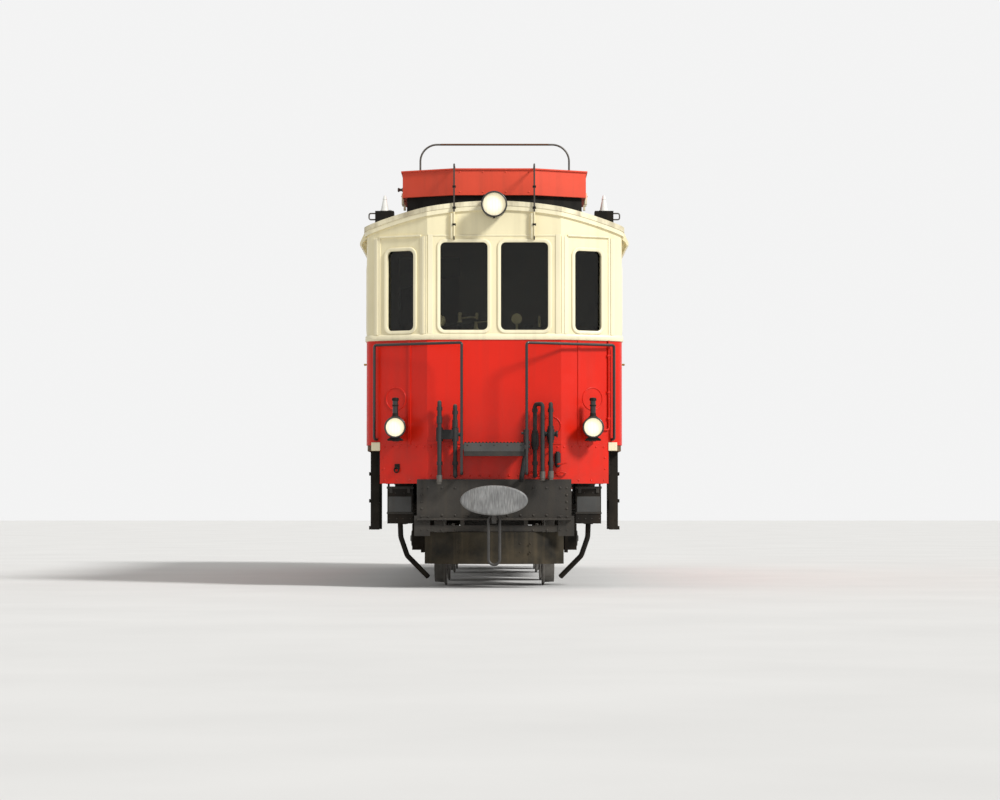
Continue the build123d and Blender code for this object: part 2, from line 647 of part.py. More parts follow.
# Headstocks: riveted plate with a lip and a bar below, carried by gussets under the underframe
GUSSET_XS = (-640.0, -300.0, 300.0, 640.0)
LOWER_BAR_LOW = 533.0
LOWER_BAR_HIGH = 593.0
LOWER_BAR = 20.0
CORNER_PLATE_LOW = 492.0
gusset_setback = APRON_PLATE + 30
lower_bar_y = (-HEADSTOCK_FACE, -HEADSTOCK_FACE + LOWER_BAR)
with BuildPart() as headstocks:
    add(
        block(
            (-HEADSTOCK_HALF, HEADSTOCK_HALF), (-HEADSTOCK_FACE, -HALF_LENGTH), (HEADSTOCK_LOW, HEADSTOCK_HIGH)
        )
    )
    add(
        block(
            (-HEADSTOCK_HALF, HEADSTOCK_HALF),
            (-HEADSTOCK_FACE - 60, -HALF_LENGTH),
            (HEADSTOCK_LOW - 12, HEADSTOCK_LOW + 4),
        )
    )
    add(block((-HEADSTOCK_HALF, HEADSTOCK_HALF), lower_bar_y, (LOWER_BAR_LOW, LOWER_BAR_HIGH)))
    for x in GUSSET_XS:
        add(block((x - 20, x + 20), lower_bar_y, (LOWER_BAR_LOW, HEADSTOCK_LOW)))
    for x in (-HEADSTOCK_HALF + 50, HEADSTOCK_HALF - 50):
        add(
            block(
                (x - 75, x + 75),
                (-HEADSTOCK_FACE - 10, -HEADSTOCK_FACE),
                (CORNER_PLATE_LOW, HEADSTOCK_LOW + 30),
            )
        )
    for x in GUSSET_XS:
        with BuildSketch(Plane.YZ.offset(x - 8)):
            with BuildLine():
                Polyline(
                    (-HALF_LENGTH, HEADSTOCK_LOW),
                    (-HALF_LENGTH, APRON_LOW - SEAT),
                    (-HALF_LENGTH + gusset_setback, APRON_LOW - SEAT),
                    (-HALF_LENGTH + gusset_setback, SOLEBAR_LOW),
                    (-HALF_LENGTH + 420, SOLEBAR_LOW),
                    (-HALF_LENGTH + 420, SOLEBAR_LOW - 60),
                    (-HALF_LENGTH + 160, HEADSTOCK_LOW),
                    close=True,
                )
            make_face()
        extrude(amount=16)
    mirror(about=Plane.XZ)
save(headstocks, "headstocks")

# Buffers: square foot, tapered housing, ram and broad oval head
buffer_back = BUFFER_FACE - 60
with BuildPart() as buffers:
    with BuildSketch(Plane.XZ.offset(HEADSTOCK_FACE)):
        with Locations((0, BUFFER_Z)):
            Rectangle(300, 190)
    extrude(amount=24)
    for start, length, low_r, high_r in (
        # distance in front of the headstock, length, radius at the start and at the end
        (24, 190, 95, 75),
        (214, 30, 85, 85),
        (244, buffer_back - HEADSTOCK_FACE - 244, 52, 52),
    ):
        with BuildSketch(Plane.XZ.offset(HEADSTOCK_FACE + start)):
            with Locations((0, BUFFER_Z)):
                Circle(low_r)
        with BuildSketch(Plane.XZ.offset(HEADSTOCK_FACE + start + length)):
            with Locations((0, BUFFER_Z)):
                Circle(high_r)
        loft()
    with BuildSketch(Plane.XZ.offset(buffer_back)):
        with Locations((0, BUFFER_Z)):
            Ellipse(BUFFER_HALF_WIDTH, BUFFER_HALF_HEIGHT)
    extrude(amount=BUFFER_FACE - buffer_back)
    fillet(buffers.edges().group_by(Axis.Y)[0], 18)
    mirror(about=Plane.XZ)
save(buffers, "buffers")

# Couplings: draw hook under the buffer, with a long link hanging in its throat
HOOK_HALF = 22.0
THROAT_Y = BUFFER_FACE - 130.0
LINK_ROD = 28.0
LINK_HALF_WIDTH = 66.0
LINK_LOW = 215.0
PIN_HOLE = 16.0
PIN_HOLE_Y = HALF_LENGTH + 180.0
throat_z = HOOK_Z - 20
link_high = throat_z + SEAT + LINK_ROD
with BuildSketch(Plane.XZ.offset(THROAT_Y)) as link_route:
    with Locations((0, (link_high + LINK_LOW) / 2)):
        SlotOverall(link_high - LINK_LOW - LINK_ROD, 2 * LINK_HALF_WIDTH - LINK_ROD, rotation=90)
link_wire = link_route.sketch.wires()[0]
with BuildPart() as couplings:
    with BuildSketch(Plane.YZ.offset(-HOOK_HALF)):
        with BuildLine():
            Polyline(
                (-HEADSTOCK_FACE, HOOK_Z + 35),
                (-THROAT_Y + 24, HOOK_Z + 35),
                (-THROAT_Y + 18, throat_z),
                (-THROAT_Y - 18, throat_z),
                (-THROAT_Y - 22, HOOK_Z + 48),
                (-THROAT_Y - 60, HOOK_Z + 20),
                (-THROAT_Y - 56, HOOK_Z - 50),
                (-THROAT_Y - 20, HOOK_Z - 78),
                (-THROAT_Y + 60, HOOK_Z - 30),
                (-HEADSTOCK_FACE, HOOK_Z - 30),
                close=True,
            )
        make_face()
        with Locations((-PIN_HOLE_Y, HOOK_Z)):
            Circle(PIN_HOLE, mode=Mode.SUBTRACT)
    extrude(amount=2 * HOOK_HALF)
    with BuildSketch(Plane(origin=link_wire @ 0, z_dir=link_wire % 0)):
        Circle(LINK_ROD / 2)
    sweep(path=link_wire)
    mirror(about=Plane.XZ)
save(couplings, "couplings")

# Ploughs: bowed plate on two arms that reach up to the headstock's gussets
with BuildPart() as ploughs:
    with BuildSketch(Plane.XY.offset(PLOUGH_LOW)):
        with BuildLine():
            ThreePointArc((-PLOUGH_HALF, -PLOUGH_TAIL), (0, -PLOUGH_NOSE), (PLOUGH_HALF, -PLOUGH_TAIL))
            Line((PLOUGH_HALF, -PLOUGH_TAIL), (PLOUGH_HALF, -PLOUGH_TAIL + PLOUGH_PLATE))
            ThreePointArc(
                (PLOUGH_HALF, -PLOUGH_TAIL + PLOUGH_PLATE),
                (0, -PLOUGH_NOSE + PLOUGH_PLATE),
                (-PLOUGH_HALF, -PLOUGH_TAIL + PLOUGH_PLATE),
            )
            Line((-PLOUGH_HALF, -PLOUGH_TAIL + PLOUGH_PLATE), (-PLOUGH_HALF, -PLOUGH_TAIL))
        make_face()
    extrude(amount=PLOUGH_HIGH - PLOUGH_LOW)
    for x in (-300, 300):
        with BuildSketch(Plane.YZ.offset(x - 8)):
            with BuildLine():
                Polyline(
                    (-PLOUGH_NOSE + 52, PLOUGH_LOW + 60),
                    (-PLOUGH_NOSE + 52, PLOUGH_HIGH - 20),
                    (-HALF_LENGTH + 20, PLOUGH_HIGH - 10),
                    (-HALF_LENGTH + 20, HEADSTOCK_LOW),
                    (-HALF_LENGTH + 150, HEADSTOCK_LOW),
                    (-HALF_LENGTH + 150, PLOUGH_HIGH - 100),
                    close=True,
                )
            make_face()
        extrude(amount=16)
    mirror(about=Plane.XZ)
save(ploughs, "ploughs")

# End steps: box-shaped step below the centre windows, open at the back and below
with BuildPart() as end_steps:
    add(block((-STEP_HALF, STEP_HALF), (-HALF_LENGTH - STEP_DEPTH, -HALF_LENGTH), (STEP_HIGH - 10, STEP_HIGH)))
    add(
        block(
            (-STEP_HALF, STEP_HALF),
            (-HALF_LENGTH - STEP_DEPTH, -HALF_LENGTH - STEP_DEPTH + 10),
            (STEP_LOW, STEP_HIGH - 5),
        )
    )
    for x in (-STEP_HALF, STEP_HALF - 10):
        add(block((x, x + 10), (-HALF_LENGTH - STEP_DEPTH, -HALF_LENGTH), (STEP_LOW, STEP_HIGH - 5)))
    mirror(about=Plane.XZ)
save(end_steps, "end_steps")

# Handrails: an arch on each side of the end step, from the body's corner out to a post in front
outer_x = HANDRAIL_OUTER_X + HANDRAIL_STANDOFF * sin(radians(FACET_ANGLE))
outer_y = facet_y(HANDRAIL_OUTER_X) + HANDRAIL_STANDOFF * cos(radians(FACET_ANGLE))
inner_y = HALF_LENGTH + STEP_DEPTH + 30
arch = tube(
    (
        (HANDRAIL_OUTER_X, -facet_y(HANDRAIL_OUTER_X), HANDRAIL_FOOT_Z),
        (outer_x, -outer_y, HANDRAIL_FOOT_Z),
        (outer_x, -outer_y, HANDRAIL_Z),
        (HANDRAIL_INNER_X, -inner_y, HANDRAIL_Z),
        (HANDRAIL_INNER_X, -inner_y, HANDRAIL_LOW_Z),
        (HANDRAIL_INNER_X, -HALF_LENGTH, HANDRAIL_LOW_Z),
    ),
    22,
    RAIL_TUBE,
)
with BuildPart() as handrails:
    add(arch)
    add(block((STEP_HALF, HANDRAIL_INNER_X), (-inner_y - 8, -inner_y + 60), (STEP_LOW + 20, STEP_LOW + 60)))
    mirror(about=Plane.YZ)
    mirror(about=Plane.XZ)
save(handrails, "handrails")

# Lamps: a lantern with a chimney on each facet, and a headlight on the cornice
LANTERN_X = 935.0
LANTERN_Z = 1518.0
LANTERN_FACE = HALF_LENGTH + 90.0
LANTERN_RADIUS = 98.0
LANTERN_DEPTH = 170.0
CHIMNEY_RADIUS = 26.0
HEADLIGHT_Z = 3618.0
HEADLIGHT_RADIUS = 120.0
HEADLIGHT_DEPTH = 160.0
lantern_back = LANTERN_FACE - LANTERN_DEPTH
roof_front = HALF_LENGTH + ROOF_OVERHANG
HEADLIGHT_FACE = roof_front + 185.0
LAMP_BODIES = (
    # x, z, front face, depth, radius
    (LANTERN_X, LANTERN_Z, LANTERN_FACE, LANTERN_DEPTH, LANTERN_RADIUS),
    (0.0, HEADLIGHT_Z, HEADLIGHT_FACE, HEADLIGHT_DEPTH, HEADLIGHT_RADIUS),
)
with BuildPart() as lamps:
    for x, z, face, depth, radius in LAMP_BODIES:
        with BuildSketch(Plane.XZ.offset(face - depth)):
            with Locations((x, z)):
                Circle(radius)
        extrude(amount=depth)
        with BuildSketch(Plane.XZ.offset(face - 30)):
            with Locations((x, z)):
                Circle(radius - 12)
        extrude(amount=30, mode=Mode.SUBTRACT)
    with BuildSketch(Plane.XY.offset(LANTERN_Z + LANTERN_RADIUS - 10)):
        with Locations((LANTERN_X, -LANTERN_FACE + LANTERN_DEPTH / 2)):
            Circle(CHIMNEY_RADIUS)
    extrude(amount=190)
    add(block((LANTERN_X - 30, LANTERN_X + 30), (-lantern_back - 20, -lantern_back + 8), (1388, LANTERN_Z)))
    add(block((LANTERN_X - 30, LANTERN_X + 30), (-lantern_back, -facet_y(LANTERN_X - 30)), (1388, 1408)))
    add(block((-40, 40), (-HEADLIGHT_FACE + HEADLIGHT_DEPTH, -roof_front), (HEADLIGHT_Z - 14, HEADLIGHT_Z + 40)))
    mirror(about=Plane.YZ)
    mirror(about=Plane.XZ)
save(lamps, "lamps")

with BuildPart() as lamp_lenses:
    for x, z, face, depth, radius in LAMP_BODIES:
        with BuildSketch(Plane.XZ.offset(face - 30)):
            with Locations((x, z)):
                Circle(radius - 12 - SEAT)
        extrude(amount=12)
    mirror(about=Plane.YZ)
    mirror(about=Plane.XZ)
save(lamp_lenses, "lamp_lenses")

# Brake pipes: standpipes on the headstock with a hose looping down in front of each
PIPE_FOOT_Z = 1060.0
PIPE_RADIUS = 20.0
pipe_y = HALF_LENGTH + 75
PIPES = (
    # x of the pipe, height of its top, spread of the hose's foot, height of the hose's end
    (-515.0, 1750.0, 0.0, 1010.0),
    (-368.0, 1715.0, 0.0, 1300.0),
    (385.0, 1735.0, 70.0, 1045.0),
    (533.0, 1735.0, 0.0, 1050.0),
)
pipe_runs = []
for x, top, spread, low in PIPES:
    pipe_runs.append(
        tube(
            (
                (x, -HALF_LENGTH, PIPE_FOOT_Z),
                (x, -pipe_y, PIPE_FOOT_Z),
                (x, -pipe_y, top),
                (x + spread, -pipe_y - 95, top),
                (x + spread, -pipe_y - 95, low),
            ),
            30,
            PIPE_RADIUS,
        )
    )
with BuildPart() as brake_pipes:
    for run in pipe_runs:
        add(run)
    mirror(about=Plane.XZ)
save(brake_pipes, "brake_pipes")

# Step ladders below the cab doors
ladder_low_x = SOLEBAR_X
ladder_ys = (-CAB_DOOR_FRONT, -CAB_DOOR_REAR - LADDER_PLATE)
with BuildPart() as step_ladders:
    for y in ladder_ys:
        add(
            block(
                (ladder_low_x, ladder_low_x + LADDER_WIDTH), (y, y + LADDER_PLATE), (LADDER_LOW, SOLEBAR_TOP)
            )
        )
    for z in TREAD_ZS:
        add(
            block(
                (ladder_low_x, ladder_low_x + LADDER_WIDTH + TREAD_LIP),
                (ladder_ys[0], ladder_ys[1] + LADDER_PLATE),
                (z, z + 16),
            )
        )
    mirror(about=Plane.YZ)
    mirror(about=Plane.XZ)
save(step_ladders, "step_ladders")

# Sand gear: box under each corner, with a pipe down to the rail
SAND_BOX_X = (780.0, 1020.0)
SAND_BOX_Y = (-HALF_LENGTH + 260.0, -HALF_LENGTH + 500.0)
SAND_BOX_Z = (608.0, 958.0)
sand_pipe_y = sum(SAND_BOX_Y) / 2
sand_pipe = tube(
    (
        (900, sand_pipe_y, SAND_BOX_Z[0] + 4),
        (895, sand_pipe_y, 480),
        (835, sand_pipe_y + 70, 300),
        (640, sand_pipe_y + 220, 95),
    ),
    90,
    25,
)
with BuildPart() as sand_gear:
    add(block(SAND_BOX_X, SAND_BOX_Y, SAND_BOX_Z))
    add(block((SAND_BOX_X[1] - 16, SAND_BOX_X[1]), (sand_pipe_y - 30, sand_pipe_y + 70), (SAND_BOX_Z[1], SOLEBAR_LOW)))
    add(sand_pipe)
    mirror(about=Plane.YZ)
    mirror(about=Plane.XZ)
save(sand_gear, "sand_gear")

# Roof housings: three-facet box with a lid, on a black plinth that follows the roof's round
INSULATOR_X = 1060.0
INSULATOR_Y = HALF_LENGTH - 570.0
INSULATOR_BOX = 180.0
INSULATOR_BASE = 3622.0
with BuildPart() as roof_plinths:
    with BuildSketch(Plane.XY.offset(ROOF_CENTRE_Z)):
        add(bow_plan(HOUSING_HALF - 40, HOUSING_FACET - 20, HOUSING_FRONT - 40, HOUSING_REAR + 40, 0))
    extrude(amount=HOUSING_LOW - ROOF_CENTRE_Z)
    with BuildSketch(Plane.XY.offset(INSULATOR_BASE)):
        with Locations((-INSULATOR_X, -INSULATOR_Y), (INSULATOR_X, -INSULATOR_Y)):
            Rectangle(INSULATOR_BOX, INSULATOR_BOX)
    extrude(amount=ROOF_CENTRE_Z - INSULATOR_BASE)
    with BuildSketch(BEHIND):
        with Locations((0, ROOF_CENTRE_Z)):
            Circle(ROOF_RADIUS + SEAT)
    extrude(amount=WHOLE_CAR, mode=Mode.SUBTRACT)
    mirror(about=Plane.XZ)
save(roof_plinths, "roof_plinths")

with BuildPart() as roof_housings:
    with BuildSketch(Plane.XY.offset(HOUSING_LOW)):
        add(bow_plan(HOUSING_HALF, HOUSING_FACET, HOUSING_FRONT, HOUSING_REAR, 0))
    extrude(amount=HOUSING_HIGH - HOUSING_LOW)
    with BuildSketch(Plane.XY.offset(HOUSING_HIGH)):
        add(
            bow_plan(
                HOUSING_HALF + LID_REACH, HOUSING_FACET + 5, HOUSING_FRONT + LID_REACH, HOUSING_REAR - LID_REACH, 0
            )
        )
    extrude(amount=LID)
    mirror(about=Plane.XZ)
save(roof_housings, "roof_housings")

# Insulators: one on each plinth at the shoulders of the ends, and four under the pantograph
SHOULDER_RINGS = (
    # height above the box, radius at the foot, radius at the top, thickness
    (0.0, 46.0, 46.0, 12.0),
    (12.0, 39.0, 18.0, 108.0),
    (120.0, 22.0, 18.0, 10.0),
    (130.0, 16.0, 11.0, 26.0),
)
with BuildPart() as shoulder_insulators:
    for rise, low_r, high_r, thick in SHOULDER_RINGS:
        with BuildSketch(Plane.XY.offset(INSULATOR_BASE + rise)):
            with Locations((INSULATOR_X, -INSULATOR_Y)):
                Circle(low_r)
        with BuildSketch(Plane.XY.offset(INSULATOR_BASE + rise + thick)):
            with Locations((INSULATOR_X, -INSULATOR_Y)):
                Circle(high_r)
        loft()
    mirror(about=Plane.YZ)
    mirror(about=Plane.XZ)

# Roof rods: two conduits from the end wall over the cornice to the housing
ROD_X = 380.0
rod_y = HALF_LENGTH + ROOF_OVERHANG + 25
roof_rod = tube(
    (
        (ROD_X, -HALF_LENGTH, 3306),
        (ROD_X, -rod_y, 3306),
        (ROD_X, -rod_y, HOUSING_HIGH + LID + 8),
        (ROD_X, -HOUSING_FRONT - LID_REACH + 30, HOUSING_HIGH + LID + 8),
    ),
    20,
    8,
)
with BuildPart() as roof_rods:
    add(roof_rod)
    mirror(about=Plane.YZ)
    mirror(about=Plane.XZ)
save(roof_rods, "roof_rods")

# Ventilators along the roof behind the pantograph
VENT_YS = (-600.0, 500.0, 1600.0, 2700.0)
with BuildPart() as ventilators:
    with BuildSketch(Plane.XY.offset(ROOF_TOP - 40)):
        with Locations(*[(x, y) for x in (-420, 420) for y in VENT_YS]):
            Circle(60)
    extrude(amount=110)
    with BuildSketch(Plane.XY.offset(ROOF_TOP + 70)):
        with Locations(*[(x, y) for x in (-420, 420) for y in VENT_YS]):
            SlotOverall(300, 150, rotation=90)
    extrude(amount=60)
    with BuildSketch(BEHIND):
        with Locations((0, ROOF_CENTRE_Z)):
            Circle(ROOF_RADIUS + SEAT)
    extrude(amount=WHOLE_CAR, mode=Mode.SUBTRACT)
save(ventilators, "ventilators")

# Air tanks and equipment boxes between the bogies
TANK_RADIUS = 190.0
TANK_X = 620.0
TANK_Z = 850.0
TANK_HALF = 620.0
TANK_STRAP_YS = (-500.0, 500.0)
with BuildPart() as air_tanks:
    with BuildSketch(Plane.XZ):
        with Locations((-TANK_X, TANK_Z)):
            Circle(TANK_RADIUS)
    extrude(amount=TANK_HALF, both=True)
    fillet(air_tanks.edges().filter_by(GeomType.CIRCLE), 50)
    for y in TANK_STRAP_YS:
        add(block((-TANK_X - 20, -TANK_X + 20), (y - 20, y + 20), (TANK_Z + TANK_RADIUS - 20, SOLEBAR_LOW)))
    mirror(about=Plane.YZ)
save(air_tanks, "air_tanks")

side_box_outer = SOLEBAR_INNER_X + SOLEBAR_FLANGE / 2
side_box_inner = side_box_outer - 180.0
side_box_half = BOGIE_PIVOT - 1600.0
middle_box_half = BOGIE_PIVOT - 1750.0
EQUIPMENT = (
    # x range, y range, z range of each box under the floor
    ((-side_box_outer, -side_box_inner), (-side_box_half, side_box_half), (680.0, SOLEBAR_LOW)),
    ((side_box_inner, side_box_outer), (-side_box_half, side_box_half), (680.0, SOLEBAR_LOW)),
    ((-380.0, 380.0), (-middle_box_half, middle_box_half), (720.0, SOLEBAR_LOW)),
)
with BuildPart() as equipment_boxes:
    for x_range, y_range, z_range in EQUIPMENT:
        add(block(x_range, y_range, z_range))
save(equipment_boxes, "equipment_boxes")

# Bogie frame, at the middle of its wheelbase, with the pivot bore and spring shoes
spring_low = AXLEBOX_HIGH + 50
leaf_count = len(SPRING_HALF_LENGTHS)
spring_high = spring_low + leaf_count * SPRING_LEAF
spring_x = FRAME_X + FRAME_PLATE + 12
shoe_z = spring_high + SPRING_RADIUS - sqrt(SPRING_RADIUS**2 - SPRING_HALF_LENGTHS[0] ** 2)
horn_gap = AXLEBOX_WIDTH / 2 + SEAT
frame_end = AXLE_OFFSET + horn_gap + HORN_WIDTH
with BuildPart() as bogie_pattern:
    with BuildSketch(Plane.YZ.offset(FRAME_X)):
        with Locations((0, (FRAME_LOW + FRAME_HIGH) / 2)):
            Rectangle(2 * FRAME_HALF_LENGTH, FRAME_HIGH - FRAME_LOW)
        for axle in (-AXLE_OFFSET, AXLE_OFFSET):
            for side in (-1, 1):
                with Locations((axle + side * (horn_gap + HORN_WIDTH / 2), (HORN_LOW + FRAME_HIGH) / 2)):
                    Rectangle(HORN_WIDTH, FRAME_HIGH - HORN_LOW)
            with Locations((axle, HORN_LOW + 10)):
                Rectangle(2 * (horn_gap + HORN_WIDTH), 20)
    extrude(amount=FRAME_PLATE)
    for axle in (-AXLE_OFFSET, AXLE_OFFSET):
        for side in (-1, 1):
            y = axle + side * (SPRING_HALF_LENGTHS[0] - 25)
            add(
                block(
                    (FRAME_X + FRAME_PLATE, spring_x + SPRING_WIDTH), (y - 30, y + 30), (shoe_z + SEAT, shoe_z + 40)
                )
            )
    mirror(about=Plane.YZ)
    add(block((-FRAME_X, FRAME_X), (-TRANSOM_HALF, TRANSOM_HALF), (TRANSOM_LOW, TRANSOM_HIGH)))
    with BuildSketch(Plane.XY.offset(TRANSOM_HIGH)):
        Circle(CENTRE_PLATE_RADIUS)
    extrude(amount=BOLSTER_LOW - SEAT - TRANSOM_HIGH)
    with BuildSketch(Plane.XY.offset(BOLSTER_LOW)):
        Circle(CENTRE_PIN_RADIUS + RUNNING)
    extrude(amount=-CENTRE_PIN_LENGTH - MOVING_GAP, mode=Mode.SUBTRACT)

# Axleboxes with their leaf springs
spring_centre_z = spring_high + SPRING_RADIUS
with BuildPart() as axlebox_pattern:
    for axle in (-AXLE_OFFSET, AXLE_OFFSET):
        low_x = FRAME_X + FRAME_PLATE / 2 - AXLEBOX_DEPTH / 2
        add(
            block(
                (low_x, low_x + AXLEBOX_DEPTH + 20),
                (axle - AXLEBOX_WIDTH / 2, axle + AXLEBOX_WIDTH / 2),
                (AXLEBOX_LOW, AXLEBOX_HIGH),
            )
        )
        with BuildSketch(Plane.YZ.offset(low_x)):
            with Locations((axle, AXLE_Z)):
                Circle(JOURNAL_RADIUS + RUNNING)
        extrude(amount=JOURNAL_END - low_x + MOVING_GAP, mode=Mode.SUBTRACT)
        add(block((spring_x, spring_x + SPRING_WIDTH), (axle - 55, axle + 55), (AXLEBOX_HIGH, spring_high)))
        for index, half in enumerate(SPRING_HALF_LENGTHS):
            outer = SPRING_RADIUS + (index + 1) * SPRING_LEAF
            with BuildSketch(Plane.YZ.offset(spring_x)):
                with Locations((axle, spring_centre_z)):
                    Circle(outer)
                    Circle(outer - SPRING_LEAF, mode=Mode.SUBTRACT)
                with Locations((axle, spring_low)):
                    Rectangle(2 * half, 400, mode=Mode.INTERSECT)
            extrude(amount=SPRING_WIDTH)
    mirror(about=Plane.YZ)

# Traction motors: plain blocks hung from the transom, clear of the axles
motor_far = AXLE_OFFSET - AXLE_RADIUS - 20
with BuildPart() as motor_pattern:
    for side in (-1, 1):
        y_range = sorted((side * TRANSOM_HALF, side * motor_far))
        add(block((-MOTOR_HALF_WIDTH, MOTOR_HALF_WIDTH), y_range, (MOTOR_LOW, MOTOR_HIGH)))

for end, pivot_y in (("front", -BOGIE_PIVOT), ("rear", BOGIE_PIVOT)):
    for pattern, kind in (
        (bogie_pattern, "bogie_frame"),
        (axlebox_pattern, "axleboxes"),
        (motor_pattern, "motors"),
    ):
        with BuildPart() as placed:
            with Locations((0, pivot_y, 0)):
                add(pattern.part)
        save(placed, f"{kind}_{end}")

# Wheelsets: one axle with its two flanged wheels, turned about the axle's line
tyre_x = BACK_TO_BACK / 2
web_x = tyre_x + TYRE_WIDTH / 2 - WEB_THICKNESS / 2
rim_r = WHEEL_RADIUS - TYRE_THICKNESS
flange_r = WHEEL_RADIUS + FLANGE_HEIGHT
WHEEL_PROFILE = (
    # x, radius from the middle of the axle out to the end of its journal
    (0, 0),
    (0, AXLE_RADIUS),
    (tyre_x - 15, AXLE_RADIUS),
    (tyre_x - 15, HUB_RADIUS),
    (web_x, HUB_RADIUS),
    (web_x, rim_r),
    (tyre_x, rim_r),
    (tyre_x, flange_r - 8),
    (tyre_x + 7, flange_r),
    (tyre_x + 18, flange_r),
    (tyre_x + FLANGE_WIDTH, WHEEL_RADIUS + 2),
    (tyre_x + TYRE_WIDTH, WHEEL_RADIUS - 3),
    (tyre_x + TYRE_WIDTH, rim_r),
    (web_x + WEB_THICKNESS, rim_r),
    (web_x + WEB_THICKNESS, HUB_RADIUS),
    (tyre_x + TYRE_WIDTH + 20, HUB_RADIUS),
    (tyre_x + TYRE_WIDTH + 20, AXLE_RADIUS),
    (JOURNAL_START, AXLE_RADIUS),
    (JOURNAL_START, JOURNAL_RADIUS),
    (JOURNAL_END, JOURNAL_RADIUS),
    (JOURNAL_END, 0),
)
axle_ys = [pivot + offset for pivot in (-BOGIE_PIVOT, BOGIE_PIVOT) for offset in (-AXLE_OFFSET, AXLE_OFFSET)]
for number, axle_y in enumerate(axle_ys, start=1):
    with BuildPart() as wheelset:
        with BuildSketch(upright_plane(0, axle_y, AXLE_Z)):
            with BuildLine():
                Polyline(*WHEEL_PROFILE, close=True)
            make_face()
        revolve(axis=Axis((0, axle_y, AXLE_Z), (1, 0, 0)))
        mirror(about=Plane.YZ)
    save(wheelset, f"wheelset_{number}")

# Pantograph base on four insulators
PANTO_FOOT_Y = 480.0
panto_roof = roof_z(PANTO_BASE_X)
PANTO_SHEDS = 5
shed_height = (PANTO_BAR_TOP - PANTO_BAR - panto_roof - 40) / PANTO_SHEDS
with BuildPart() as panto_insulators:
    with BuildSketch(Plane.XY.offset(ROOF_CENTRE_Z + ROOF_RADIUS / 2)):
        with GridLocations(2 * PANTO_BASE_X, 2 * PANTO_FOOT_Y, 2, 2):
            Rectangle(150, 150)
    extrude(amount=panto_roof + 40 - ROOF_CENTRE_Z - ROOF_RADIUS / 2)
    with BuildSketch(BEHIND):
        with Locations((0, ROOF_CENTRE_Z)):
            Circle(ROOF_RADIUS + SEAT)
    extrude(amount=WHOLE_CAR, mode=Mode.SUBTRACT)
    for shed in range(PANTO_SHEDS):
        with BuildSketch(Plane.XY.offset(panto_roof + 40 + shed * shed_height)):
            with GridLocations(2 * PANTO_BASE_X, 2 * PANTO_FOOT_Y, 2, 2):
                Circle(58)
        extrude(amount=shed_height / 2)
        with BuildSketch(Plane.XY.offset(panto_roof + 40 + (shed + 0.5) * shed_height)):
            with GridLocations(2 * PANTO_BASE_X, 2 * PANTO_FOOT_Y, 2, 2):
                Circle(36)
        extrude(amount=shed_height / 2)
with BuildPart() as insulators:
    add(shoulder_insulators.part)
    with Locations((0, PANTO_Y, 0)):
        add(panto_insulators.part)
save(insulators, "insulators")

LOWER_SHAFT = 18.0
LOWER_TUBE = 20.0
UPPER_TUBE = 14.0
HEAD_SHAFT = 12.0
KNEE_PIN = 10.0
OPEN_PIVOT = 6.0
BEARING = 20.0
with BuildPart() as panto_base:
    for x in (-PANTO_BASE_X, PANTO_BASE_X):
        add(
            block(
                (x - PANTO_BAR / 2, x + PANTO_BAR / 2),
                (PANTO_Y - PANTO_BASE_HALF, PANTO_Y + PANTO_BASE_HALF),
                (PANTO_BAR_TOP - PANTO_BAR, PANTO_BAR_TOP),
            )
        )
        with BuildSketch(Plane.YZ.offset(x - BEARING / 2)):
            for y in (PANTO_Y - PANTO_HALF, PANTO_Y + PANTO_HALF):
                with Locations((y, PANTO_PIVOT_Z)):
                    Circle(LOWER_SHAFT + 16)
                with Locations((y, (PANTO_BAR_TOP + PANTO_PIVOT_Z) / 2 - 5)):
                    Rectangle(2 * LOWER_SHAFT + 32, PANTO_PIVOT_Z - PANTO_BAR_TOP + 10)
                with Locations((y, PANTO_PIVOT_Z)):
                    Circle(LOWER_SHAFT + RUNNING, mode=Mode.SUBTRACT)
        extrude(amount=BEARING)
    for y in (PANTO_Y - PANTO_BASE_HALF + 20, PANTO_Y + PANTO_BASE_HALF - 20):
        add(
            block((-PANTO_BASE_X, PANTO_BASE_X), (y - 20, y + 20), (PANTO_BAR_TOP - PANTO_BAR, PANTO_BAR_TOP))
        )
save(panto_base, "panto_base")


def round_bar(start, end, radius):
    """Straight round bar from one point to another."""
    with BuildPart() as bar:
        span = Vector(*end) - Vector(*start)
        with BuildSketch(Plane(origin=start, z_dir=span)):
            Circle(radius)
        extrude(amount=span.length)
    return bar.part


